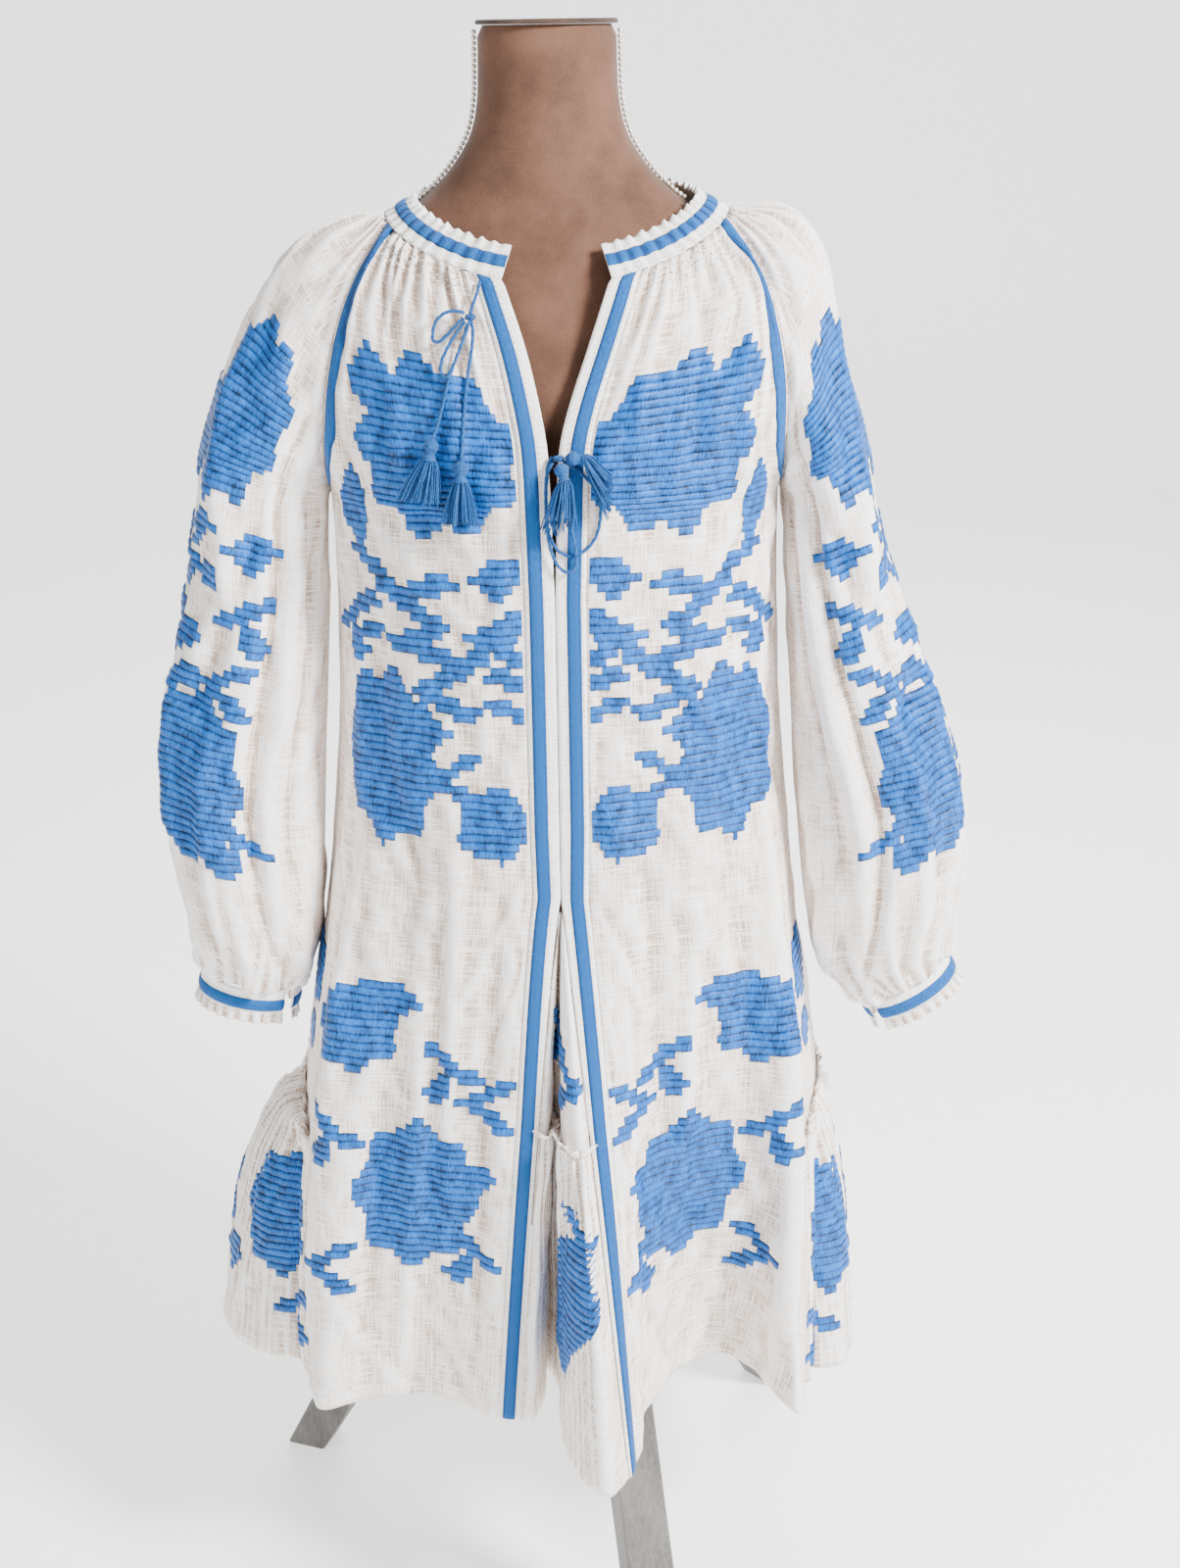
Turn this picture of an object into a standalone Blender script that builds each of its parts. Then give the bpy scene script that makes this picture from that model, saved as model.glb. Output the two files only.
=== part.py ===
"""Embroidered linen dress on a limbless dress form with a three-legged stand.

Metres, +Z up, the floor at z = 0, the front of the dress towards -Y, "left" is the side at -X.
The dress is a raglan smock. Its cloth pieces are thin walls: each takes the outer points of its cut,
row by row, and the wall goes inwards from them. Rows come from four surfaces, which meet at the seams:
the neck ring under the collar, the yoke between the raglan seams, the body and skirt rings with their
folds, and the sleeves' own rings.
"""

import math
from collections import namedtuple

import bmesh
import bpy
from mathutils import Vector

# The sizes below are taken from the form's own axis, at x = 0 and y = 0; the whole part is then moved so
# that its origin lies under the middle of its bounding box, on the floor
ORIGIN_SHIFT = Vector((-0.0061, 0.0400, 0.0))

# Cloth sizes
WALL = 0.0015
RIBBON_WALL = 0.0009
SEAM_GAP = 0.0002
LAID_GAP = 0.0003
EDGE_RELIEF = 0.0007

# Steps for reading a line's direction and a ring's direction
SLOPE_STEP = 0.002
ANGLE_STEP = math.radians(1)

# Heights of the dress above the floor
UNDERARM = 1.060
GODET_TOP = 0.733
LOW_HIP = 0.600
GODET_SEAM = 0.530
TIER_SEAM = 0.490
HEM = 0.250
BODY_LEVELS = (1.060, 0.990, 0.900, 0.810, 0.733, 0.660, 0.590, 0.530, 0.490)
TIER_LEVELS = (0.490, 0.474, 0.448, 0.400, 0.330, 0.250)

# Shares of the way down the raglan seam, from the collar to the underarm
YOKE_SHARES = (0.0, 0.06, 0.15, 0.30, 0.46, 0.64, 0.82, 1.0)
# How the yoke steepens on its way down, and how fast the sleeve head leaves the collar's ring
YOKE_FALL = 1.5
COLLAR_PULL = 4

# Collar: a band that lies round the neck, open at the front
NECK_CENTRE = Vector((0.0055, -0.0165, 0.0))
NECK_HALF_WIDTH = (0.139, 0.113)
NECK_FRONT_DEPTH = (0.0915, 0.0665)
NECK_BACK_DEPTH = (0.1010, 0.0840)
NECK_HEIGHT = (1.285, 1.299)
NECK_FRONT_DROP = (0.047, 0.037)
NECK_BACK_RISE = (0.003, 0.012)
COLLAR_OPEN = math.radians(18)
RAGLAN_FRONT = math.radians(78)
RAGLAN_BACK = math.radians(122)
# Rows of the collar, from its frilled edge down to the neck seam, and their half waves
COLLAR_RISES = (1.0, 0.84, 0.68, 0.33, 0.012)
COLLAR_WAVE_HEIGHTS = (0.0016, 0.0007, 0.0, 0.0, 0.0)
COLLAR_RIBBON_ROWS = (2, 3)
COLLAR_FRILLS = 26

# Front bands: the ribbon's two edges and the band seam, measured from the placket edge
BAND_COLUMNS = (0.0, 0.009, 0.0205, 0.0245)
LOW_BAND_COLUMNS = (0.0, 0.0035, 0.015, 0.0190)
BAND_LABELS = [0.0, 1.0, 2.0, 3.0]
# The height where the white edge starts to narrow, and over what length it does
BAND_NARROWING = (0.793, 0.250)
# The raglan ribbon's two edges, measured from the raglan seam
RAGLAN_RIBBON = (0.0135, 0.002)
RAGLAN_LABELS = (0.1, 0.2)

# Ties: cords, knots and tassels
CORD = 0.0022
CORD_STEP = 0.0066
KNOT_RADIUS = 0.0045
TASSEL_SIDES = 7
TASSEL_FALL = 0.036

Placket = namedtuple("Placket", "height left_x right_x")
PLACKET = (
    Placket(1.245, 0.0375, 0.0485),
    Placket(1.190, 0.0195, 0.0290),
    Placket(1.143, 0.0085, 0.0125),
    Placket(1.110, 0.0035, 0.0050),
    Placket(1.050, 0.0015, 0.0022),
    Placket(0.994, 0.0003, 0.0003),
)

Chest = namedtuple("Chest", "height front_y")
CHEST = (
    Chest(1.245, -0.1035),
    Chest(1.190, -0.1160),
    Chest(1.143, -0.1300),
    Chest(1.110, -0.1360),
    Chest(1.060, -0.1400),
)

Body = namedtuple("Body", "height half_left half_right front back")
BODY = (
    Body(1.060, 0.190, 0.190, 0.140, 0.112),
    Body(1.000, 0.189, 0.189, 0.139, 0.112),
    Body(0.930, 0.191, 0.191, 0.137, 0.112),
    Body(0.860, 0.195, 0.195, 0.137, 0.115),
    Body(0.790, 0.202, 0.201, 0.140, 0.119),
    Body(0.733, 0.208, 0.206, 0.145, 0.124),
    Body(0.660, 0.219, 0.214, 0.153, 0.131),
    Body(0.590, 0.233, 0.226, 0.161, 0.139),
    Body(0.490, 0.246, 0.236, 0.170, 0.148),
    Body(0.250, 0.262, 0.246, 0.180, 0.160),
)
BODY_SQUARENESS = 0.90

# Places round the body and skirt: the angle from the front at the underarm and at the low hip, the place
# at the hem, and how the cloth moves from the plain body to that place below the starting height
Fold = namedtuple("Fold", "name high low hem_x hem_y hem_z start growth")
LEFT_FRONT = (
    Fold("placket", 0.0, 0.0, -0.046, -0.203, 0.250, 0.733, 0.80),
    Fold("band", -7.0, -7.0, -0.074, -0.195, 0.250, 0.733, 0.80),
    Fold("middle valley", -28.0, -21.0, -0.124, -0.168, 0.253, 0.800, 1.20),
    Fold("ridge", -50.0, -36.0, -0.180, -0.172, 0.253, 0.800, 1.20),
    Fold("corner", -72.0, -51.0, -0.226, -0.184, 0.250, 0.800, 1.20),
    Fold("front seam", -88.0, -62.0, -0.240, -0.150, 0.250, 0.800, 1.20),
)
LEFT_TIER = (
    LEFT_FRONT[-1],
    Fold("front of tier", -88.6, -69.0, -0.254, -0.108, 0.251, 0.490, 0.60),
    Fold("front wave", -89.3, -78.0, -0.296, -0.096, 0.250, 0.490, 0.45),
    Fold("side wave", -90.0, -88.0, -0.337, -0.034, 0.250, 0.490, 0.40),
    Fold("back wave", -90.8, -98.0, -0.318, 0.050, 0.250, 0.490, 0.45),
    Fold("back seam", -92.0, -108.0, -0.262, 0.104, 0.250, 0.600, 0.90),
)
BACK = (
    LEFT_TIER[-1],
    Fold("left fold", -108.0, -118.0, -0.222, 0.143, 0.250, 0.800, 1.0),
    Fold("left valley", -124.0, -131.0, -0.168, 0.146, 0.250, 0.800, 1.0),
    Fold("left ridge", -142.0, -146.0, -0.114, 0.176, 0.250, 0.800, 1.0),
    Fold("left shallow", -161.0, -163.0, -0.056, 0.162, 0.250, 0.800, 1.0),
    Fold("centre", -180.0, -180.0, 0.000, 0.184, 0.250, 0.800, 1.0),
    Fold("right shallow", -199.0, -197.0, 0.056, 0.164, 0.250, 0.800, 1.0),
    Fold("right ridge", -218.0, -214.0, 0.110, 0.178, 0.250, 0.800, 1.0),
    Fold("right valley", -236.0, -229.0, 0.158, 0.146, 0.250, 0.800, 1.0),
    Fold("right fold", -252.0, -242.0, 0.204, 0.143, 0.250, 0.800, 1.0),
    Fold("back seam", -268.0, -252.0, 0.240, 0.096, 0.250, 0.600, 0.90),
)
RIGHT_TIER = (
    Fold("front seam", 88.0, 62.0, 0.214, -0.172, 0.250, 0.800, 1.20),
    Fold("front of tier", 88.6, 69.0, 0.224, -0.134, 0.250, 0.490, 0.70),
    Fold("front wave", 89.3, 78.0, 0.257, -0.124, 0.250, 0.490, 0.60),
    Fold("side wave", 90.0, 88.0, 0.268, -0.060, 0.250, 0.490, 0.50),
    Fold("back wave", 90.8, 98.0, 0.268, 0.030, 0.250, 0.490, 0.60),
    Fold("back seam", 92.0, 108.0, 0.240, 0.096, 0.250, 0.600, 0.90),
)
RIGHT_FRONT = (
    Fold("placket", 0.0, 0.0, 0.053, -0.270, 0.238, 0.733, 0.95),
    Fold("band", 7.0, 7.0, 0.062, -0.240, 0.244, 0.733, 0.95),
    Fold("flank", 14.0, 12.0, 0.068, -0.202, 0.254, 0.760, 1.10),
    Fold("deep valley front", 28.0, 21.0, 0.098, -0.152, 0.264, 0.800, 1.20),
    Fold("deep valley", 42.0, 32.0, 0.142, -0.132, 0.268, 0.800, 1.20),
    Fold("rise", 58.0, 43.0, 0.176, -0.156, 0.258, 0.800, 1.20),
    Fold("corner", 74.0, 54.0, 0.203, -0.200, 0.250, 0.800, 1.20),
    RIGHT_TIER[0],
)

# The centre godet, from the left placket edge to the right one
GODET = (
    Fold("left lip", 0.0, 0.0, -0.033, -0.207, 0.250, 0.733, 0.82),
    Fold("return", 0.0, 0.0, -0.024, -0.168, 0.250, 0.733, 0.84),
    Fold("valley", 0.0, 0.0, -0.028, -0.122, 0.252, 0.733, 0.86),
    Fold("flank", 0.0, 0.0, -0.011, -0.152, 0.250, 0.733, 0.88),
    Fold("flank front", 0.0, 0.0, -0.006, -0.222, 0.245, 0.733, 0.90),
    Fold("ridge edge", 0.0, 0.0, 0.008, -0.266, 0.240, 0.733, 0.92),
    Fold("ridge", 0.0, 0.0, 0.034, -0.290, 0.235, 0.733, 0.94),
)
GODET_TIP = 0.30
GODET_COLUMNS = 10
SIDE_COLUMNS = 4

# Sleeve heads: from the collar to the underarm, the raglan seam's reach, the top of the sleeve, the
# sleeve's half depth and how far round from its top the cloth goes to the seam, in degrees
Head = namedtuple("Head", "share seam_x top_x top_z half_depth open_angle")
SLEEVE_HEADS = {
    "left": (
        Head(0.00, 0.1300, 0.1335, 1.2870, 0.0390, 60.0),
        Head(0.18, 0.1560, 0.1830, 1.2790, 0.0610, 72.0),
        Head(0.36, 0.1720, 0.2160, 1.2580, 0.0710, 84.0),
        Head(0.56, 0.1820, 0.2430, 1.2200, 0.0750, 98.0),
        Head(0.78, 0.1880, 0.2700, 1.1650, 0.0755, 122.0),
        Head(0.92, 0.1900, 0.2880, 1.1230, 0.0760, 150.0),
        Head(1.00, 0.1900, 0.2980, 1.0980, 0.0730, 176.0),
    ),
    "right": (
        Head(0.00, 0.1410, 0.1445, 1.2880, 0.0390, 60.0),
        Head(0.18, 0.1690, 0.1850, 1.2880, 0.0610, 72.0),
        Head(0.36, 0.1820, 0.2150, 1.2700, 0.0710, 84.0),
        Head(0.56, 0.1890, 0.2310, 1.2300, 0.0770, 98.0),
        Head(0.78, 0.1900, 0.2400, 1.1750, 0.0800, 122.0),
        Head(0.92, 0.1900, 0.2510, 1.1300, 0.0820, 150.0),
        Head(1.00, 0.1900, 0.2620, 1.0960, 0.0800, 176.0),
    ),
}
SLEEVE_HEAD_CENTRE = -0.002

# Sleeves below the underarm: the outer and the inner line seen from the front, and the half depth
Tube = namedtuple("Tube", "outer_x outer_z inner_x inner_z half_depth centre_y")
SLEEVE_TUBES = {
    "left": (
        Tube(0.3000, 1.0880, 0.1945, 1.0500, 0.0725, -0.004),
        Tube(0.3080, 1.0380, 0.1960, 1.0050, 0.0710, -0.009),
        Tube(0.3165, 0.9860, 0.1975, 0.9510, 0.0690, -0.014),
        Tube(0.3300, 0.9260, 0.2015, 0.8910, 0.0670, -0.020),
        Tube(0.3445, 0.8670, 0.2060, 0.8320, 0.0660, -0.026),
        Tube(0.3510, 0.8090, 0.2095, 0.7740, 0.0660, -0.031),
        Tube(0.3460, 0.7510, 0.2130, 0.7210, 0.0660, -0.036),
        Tube(0.3395, 0.7030, 0.2165, 0.6770, 0.0640, -0.040),
        Tube(0.3340, 0.6690, 0.2240, 0.6430, 0.0570, -0.043),
        Tube(0.3290, 0.6440, 0.2330, 0.6200, 0.0450, -0.045),
        Tube(0.3270, 0.6330, 0.2385, 0.6130, 0.0360, -0.045),
    ),
    "right": (
        Tube(0.2655, 1.0860, 0.1945, 1.0500, 0.0800, -0.004),
        Tube(0.2740, 1.0380, 0.1965, 1.0050, 0.0820, -0.009),
        Tube(0.2875, 0.9860, 0.1990, 0.9510, 0.0820, -0.014),
        Tube(0.3065, 0.9260, 0.2015, 0.8910, 0.0800, -0.020),
        Tube(0.3290, 0.8670, 0.2055, 0.8320, 0.0770, -0.026),
        Tube(0.3490, 0.8090, 0.2090, 0.7740, 0.0740, -0.031),
        Tube(0.3555, 0.7510, 0.2135, 0.7210, 0.0710, -0.036),
        Tube(0.3545, 0.7030, 0.2200, 0.6720, 0.0670, -0.040),
        Tube(0.3515, 0.6690, 0.2315, 0.6290, 0.0590, -0.043),
        Tube(0.3470, 0.6470, 0.2535, 0.6020, 0.0460, -0.045),
        Tube(0.3450, 0.6370, 0.2680, 0.5910, 0.0360, -0.045),
    ),
}
CUFF_LINES = (0.0, 0.0085, 0.0195, 0.0215)
CUFF_OPEN = (math.radians(-138), math.radians(206))
CUFF_FRILL = 0.0095
CUFF_FRILL_ROWS = (0.0, 0.5, 1.0)
CUFF_FRILL_WAVE = 0.0014
CUFF_FRILL_FLARE = 0.0010
CUFF_FRILLS = 9

# Gathers: how many waves, and their half heights down from the seam
YOKE_WAVES = 10
YOKE_WAVE_HEIGHTS = (0.0, 0.0028, 0.0030, 0.0026, 0.0020, 0.0014, 0.0008, 0.0)
SLEEVE_WAVES = 7
SLEEVE_WAVE_HEIGHTS = (0.0, 0.0026, 0.0028, 0.0022, 0.0014, 0.0008, 0.0004, 0.0)
BACK_WAVES = 12
CUFF_WAVES = 14
CUFF_WAVE_HEIGHTS = (0.0028, 0.0036, 0.0026, 0.0)
TIER_WAVES = 15
TIER_WAVE_HEIGHTS = (0.0014, 0.0028, 0.0034, 0.0030, 0.0024, 0.0020)
GODET_WAVES = 11
GODET_WAVE_HEIGHTS = (0.0012, 0.0024, 0.0024, 0.0018, 0.0014, 0.0010, 0.0006)
FINE_TIER_ROWS = 3
FINE_YOKE_ROWS = 3

# Ties, in the places where they hang: the knots, and the routes of their cords measured from the knot
NECK_KNOT = Vector((-0.0620, -0.1150, 1.2150))
FRONT_KNOT = Vector((0.0050, -0.1429, 1.1085))
TIE_ROUTES = {
    "neck_tie_stem": (NECK_KNOT, (
        (0.0080, 0.0117, 0.0255), (0.0062, 0.0082, 0.0190), (0.0035, 0.0040, 0.0115), (0.0010, 0.0010, 0.0052))),
    "neck_tie_loop_left": (NECK_KNOT, (
        (-0.0040, -0.0004, 0.0032), (-0.0100, -0.0006, 0.0048), (-0.0180, -0.0006, 0.0040),
        (-0.0255, -0.0005, -0.0015), (-0.0290, -0.0008, -0.0100), (-0.0290, -0.0016, -0.0170),
        (-0.0255, -0.0022, -0.0185), (-0.0200, -0.0022, -0.0150), (-0.0120, -0.0016, -0.0070),
        (-0.0051, 0.0000, -0.0004))),
    "neck_tie_loop_low": (NECK_KNOT, (
        (-0.0041, -0.0012, -0.0032), (-0.0100, -0.0040, -0.0105), (-0.0170, -0.0070, -0.0210),
        (-0.0225, -0.0080, -0.0320), (-0.0235, -0.0095, -0.0410), (-0.0190, -0.0115, -0.0440),
        (-0.0145, -0.0120, -0.0370), (-0.0090, -0.0115, -0.0250), (-0.0045, -0.0095, -0.0140),
        (-0.0015, -0.0080, -0.0070), (-0.0005, -0.0047, -0.0022))),
    "neck_tie_tail_left": (NECK_KNOT, (
        (-0.0021, -0.0006, -0.0048), (-0.0040, -0.0020, -0.0120), (-0.0085, -0.0042, -0.0240),
        (-0.0145, -0.0072, -0.0380), (-0.0195, -0.0104, -0.0530), (-0.0235, -0.0110, -0.0680),
        (-0.0275, -0.0122, -0.0810), (-0.0312, -0.0148, -0.0905))),
    "neck_tie_tail_right": (NECK_KNOT, (
        (0.0014, -0.0006, -0.0051), (0.0020, -0.0025, -0.0120), (0.0005, -0.0045, -0.0260),
        (-0.0025, -0.0072, -0.0420), (-0.0050, -0.0110, -0.0600), (-0.0070, -0.0150, -0.0800),
        (-0.0085, -0.0180, -0.0970), (-0.0093, -0.0207, -0.1068))),
    "front_tie_loop_long": (FRONT_KNOT, (
        (-0.0044, -0.0010, -0.0028), (-0.0085, -0.0020, -0.0100), (-0.0104, -0.0024, -0.0220),
        (-0.0106, -0.0024, -0.0400), (-0.0100, -0.0024, -0.0560), (-0.0075, -0.0022, -0.0720),
        (-0.0030, -0.0020, -0.0840), (0.0035, -0.0020, -0.0905), (0.0095, -0.0020, -0.0895),
        (0.0125, -0.0022, -0.0810), (0.0115, -0.0024, -0.0680), (0.0085, -0.0024, -0.0520),
        (0.0050, -0.0026, -0.0360), (0.0020, -0.0030, -0.0200), (0.0002, -0.0016, -0.0052))),
    "front_tie_loop_wide": (FRONT_KNOT, (
        (-0.0050, 0.0034, 0.0006), (-0.0080, 0.0024, -0.0050), (-0.0098, 0.0014, -0.0140),
        (-0.0104, 0.0012, -0.0300), (-0.0102, 0.0010, -0.0480), (-0.0075, 0.0010, -0.0640),
        (-0.0010, 0.0010, -0.0745), (0.0090, 0.0010, -0.0785), (0.0190, 0.0010, -0.0745),
        (0.0275, 0.0010, -0.0650), (0.0320, 0.0010, -0.0500), (0.0315, 0.0012, -0.0340),
        (0.0265, 0.0016, -0.0220), (0.0170, 0.0022, -0.0120), (0.0088, 0.0028, -0.0060),
        (0.0036, 0.0028, -0.0026))),
}

# Tassels: the top of each, the way down through its head, the way its fringe hangs and the fringe's spread
Tassel = namedtuple("Tassel", "name top down fall spread")
TASSELS = (
    Tassel("neck_tassel_left", NECK_KNOT + Vector((-0.0314, -0.0151, -0.0909)),
           Vector((-0.20, -0.08, -1.0)), Vector((-0.30, -0.12, -1.0)), 0.0100),
    Tassel("neck_tassel_right", NECK_KNOT + Vector((-0.0094, -0.0209, -0.1072)),
           Vector((-0.05, -0.17, -1.0)), Vector((-0.06, -0.10, -1.0)), 0.0085),
    Tassel("front_tassel_left", FRONT_KNOT + Vector((0.0010, -0.0045, -0.0028)),
           Vector((0.25, -0.75, -1.0)), Vector((-0.14, -0.10, -1.0)), 0.0080),
    Tassel("front_tassel_right", FRONT_KNOT + Vector((0.0051, -0.0015, 0.0010)),
           Vector((1.00, -0.20, -0.10)), Vector((0.62, -0.08, -1.0)), 0.0095),
)
# The profile of a tassel's head: the distance down from its top and the radius
TASSEL_HEAD = ((0.0, 0.0011), (0.0020, 0.0013), (0.0035, 0.0030), (0.0065, 0.0050), (0.0100, 0.0042),
               (0.0120, 0.0030), (0.0140, 0.0038), (0.0175, 0.0050))
TASSEL_CORE = 0.5
STRAND_SIZE = 0.62
FRINGE_DEPTH = 0.4
# A strand's sections: the share of the fall, the share of the spread and the share of its thickness
STRAND_SECTIONS = ((0.50, 0.70, 0.95), (1.00, 1.00, 0.75))

# Dress form: half width, front depth and back depth of its rings, from the cap down
Form = namedtuple("Form", "height half_width front back")
FORM = (
    Form(1.4270, 0.0560, 0.0560, 0.0560),
    Form(1.4000, 0.0565, 0.0560, 0.0560),
    Form(1.3700, 0.0580, 0.0560, 0.0560),
    Form(1.3450, 0.0640, 0.0580, 0.0580),
    Form(1.3220, 0.0780, 0.0610, 0.0600),
    Form(1.3000, 0.0990, 0.0600, 0.0620),
    Form(1.2830, 0.1230, 0.0640, 0.0650),
    Form(1.2660, 0.1460, 0.0700, 0.0690),
    Form(1.2450, 0.1650, 0.0830, 0.0740),
    Form(1.2000, 0.1680, 0.1010, 0.0840),
    Form(1.1400, 0.1640, 0.1170, 0.0880),
    Form(1.0700, 0.1520, 0.1120, 0.0850),
    Form(0.9600, 0.1260, 0.0900, 0.0760),
    Form(0.8600, 0.1450, 0.1040, 0.0900),
    Form(0.7700, 0.1660, 0.1120, 0.1040),
    Form(0.7000, 0.1640, 0.1080, 0.1020),
)
FORM_COLUMNS = 22
FORM_SQUARENESS = 0.94
# The neck cap's profile, from its top edge down: the rise over the neck and the radius
CAP_PROFILE = ((0.0040, 0.0555), (0.0028, 0.0570), (0.0, 0.0570))

# Stand
POST_RADIUS = 0.0130
POST_COLUMNS = 12
HUB_COLUMNS = 18
HUB_RADIUS = 0.0420
HUB_LEVELS = (0.335, 0.405)
LEG_AZIMUTHS = (-110.0, 16.0, 133.0)
LEG_WIDTH = 0.042
Leg = namedtuple("Leg", "radius height depth")
LEG = (
    Leg(0.0423, 0.372, 0.046),
    Leg(0.100, 0.356, 0.045),
    Leg(0.150, 0.306, 0.043),
    Leg(0.184, 0.240, 0.040),
    Leg(0.215, 0.174, 0.039),
    Leg(0.245, 0.110, 0.039),
    Leg(0.273, 0.050, 0.040),
    Leg(0.300, 0.000, 0.042),
)

# Colours, roughness and metallic value of the plain materials
Finish = namedtuple("Finish", "colour roughness metallic")
FINISHES = {
    "linen": Finish((0.80, 0.76, 0.71), 0.90, 0.0),
    "ribbon": Finish((0.13, 0.30, 0.60), 0.70, 0.0),
    "thread": Finish((0.11, 0.27, 0.56), 0.55, 0.0),
    "velvet": Finish((0.27, 0.16, 0.12), 0.85, 0.0),
    "cap": Finish((0.09, 0.06, 0.05), 0.60, 0.0),
    "painted wood": Finish((0.62, 0.61, 0.59), 0.55, 0.0),
    "rod": Finish((0.45, 0.44, 0.43), 0.40, 0.6),
}


# Tables and smooth lines


def slopes(keys, values):
    """Finite-difference slopes at each key, for a smooth curve through uneven steps."""
    found = []
    for i in range(len(keys)):
        low = max(i - 1, 0)
        high = min(i + 1, len(keys) - 1)
        found.append((values[high] - values[low]) / (keys[high] - keys[low]))
    return found


def read(table, key):
    """The row of a table at a key of its first column, smoothly between the rows that it has."""
    rows = sorted(table)
    keys = [row[0] for row in rows]
    key = min(max(key, keys[0]), keys[-1])
    place = max(i for i in range(len(keys) - 1) if keys[i] <= key)
    step = keys[place + 1] - keys[place]
    t = (key - keys[place]) / step
    result = [key]
    for column in range(1, len(rows[0])):
        values = [row[column] for row in rows]
        tangent = slopes(keys, values)
        result.append(hermite(values[place], values[place + 1],
                              tangent[place] * step, tangent[place + 1] * step, t))
    return type(table[0])(*result)


def hermite(start, end, out_slope, in_slope, t):
    """A cubic from start to end with the given slopes."""
    return (start * (2 * t ** 3 - 3 * t ** 2 + 1) + out_slope * (t ** 3 - 2 * t ** 2 + t)
            + end * (3 * t ** 2 - 2 * t ** 3) + in_slope * (t ** 3 - t ** 2))


def curve_through(points, steps=8):
    """A dense smooth line through points, with even-tempered corners (centripetal)."""
    knots = [0.0]
    for a, b in zip(points, points[1:]):
        knots.append(knots[-1] + max((b - a).length, 1e-6) ** 0.5)
    tangents = slopes(knots, points)
    line = []
    for i in range(len(points) - 1):
        span = knots[i + 1] - knots[i]
        for k in range(steps):
            line.append(hermite(points[i], points[i + 1],
                                tangents[i] * span, tangents[i + 1] * span, k / steps))
    line.append(points[-1].copy())
    return line


class Line:
    """A dense line that is read by the distance along it."""

    def __init__(self, points):
        self.points = points
        self.marks = [0.0]
        for a, b in zip(points, points[1:]):
            self.marks.append(self.marks[-1] + (b - a).length)
        self.length = self.marks[-1]

    def at(self, distance):
        """The point at a distance from the start."""
        distance = min(max(distance, 0.0), self.length)
        for i in range(len(self.marks) - 1):
            if distance <= self.marks[i + 1]:
                share = (distance - self.marks[i]) / (self.marks[i + 1] - self.marks[i])
                return self.points[i].lerp(self.points[i + 1], share)
        return self.points[-1].copy()


def signed_power(value, power):
    """A power that keeps the sign of its base."""
    return math.copysign(abs(value) ** power, value)


# The surfaces of the dress


def neck_ring(angle, rise):
    """A point of the collar: angle from the front, rise 0 at the neck seam and 1 at the frilled edge."""
    forward = math.cos(angle)
    depths = NECK_FRONT_DEPTH if forward > 0 else NECK_BACK_DEPTH
    half_width, half_depth, height, drop, back_rise = (
        low + (high - low) * rise
        for low, high in (NECK_HALF_WIDTH, depths, NECK_HEIGHT, NECK_FRONT_DROP, NECK_BACK_RISE)
    )
    z = height - drop * max(forward, 0.0) ** 1.5 + back_rise * max(-forward, 0.0) ** 1.5
    return NECK_CENTRE + Vector((half_width * math.sin(angle), -half_depth * forward, z))


def body_point(angle, height):
    """A point of the plain body ring: degrees from the front, towards +X."""
    row = read(BODY, height)
    turn = math.radians(angle)
    half = row.half_right if math.sin(turn) > 0 else row.half_left
    depth = row.front if math.cos(turn) > 0 else row.back
    return Vector((
        half * signed_power(math.sin(turn), BODY_SQUARENESS),
        -depth * signed_power(math.cos(turn), BODY_SQUARENESS),
        height,
    ))


def level_height(height, hem_z):
    """The height of a level where the hem hangs a little above or below the plain hem."""
    if height >= TIER_SEAM:
        return height
    share = (TIER_SEAM - height) / (TIER_SEAM - HEM)
    return TIER_SEAM - share * (TIER_SEAM - hem_z)


def hang(height, start, growth):
    """How far the cloth has moved from the plain body to its place at the hem."""
    share = min(max((start - height) / (start - HEM), 0.0), 1.0)
    return share ** growth


def fold_point(fold, height):
    """The place of a fold at a level."""
    down = min((UNDERARM - height) / (UNDERARM - LOW_HIP), 1.0)
    angle = fold.high + (fold.low - fold.high) * down
    plain = body_point(angle, height)
    share = hang(height, fold.start, fold.growth)
    point = plain.lerp(Vector((fold.hem_x, fold.hem_y, height)), share)
    point.z = level_height(height, fold.hem_z)
    return point


def ring_line(folds, height):
    """The smooth line through the places of some folds at a level."""
    return Line(curve_through([fold_point(fold, height) for fold in folds]))


def side_line(folds, height):
    """The line across a side panel, between its two seams."""
    middle = folds[len(folds) // 2]
    return Line(curve_through([fold_point(fold, height) for fold in (folds[0], middle, folds[-1])]))


def underarm_line(side):
    """The short top row of a side panel, between the two ends of the sleeve."""
    head = sleeve_head_line(side, 1.0)
    inset = Vector((2 * LAID_GAP if side == "left" else -2 * LAID_GAP, 0.0, -2 * LAID_GAP))
    return Line([head.points[0] + inset, head.points[-1] + inset])


def placket_tuck(side, level):
    """The way from the placket edge to the back of its band, where the godet is sewn on."""
    line = ring_line(LEFT_FRONT if side == "left" else RIGHT_FRONT, level)
    out = out_of_row((line.at(BAND_COLUMNS[1]) - line.at(0.0)).normalized())
    return out * (-1.0 if side == "left" else 1.0) * (WALL + LAID_GAP)


def godet_line(height):
    """The line across the centre godet at a level, from the left placket edge to the right one."""
    left = fold_point(LEFT_FRONT[0], height) + placket_tuck("left", height)
    right = fold_point(RIGHT_FRONT[0], height) + placket_tuck("right", height)
    points = [left] + [fold_point(fold, height) for fold in GODET] + [right]
    return Line(curve_through(points))


def head_row(side, share):
    """The sleeve head's measures at a share of the way down the raglan seam."""
    return read(SLEEVE_HEADS[side], share)


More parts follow.
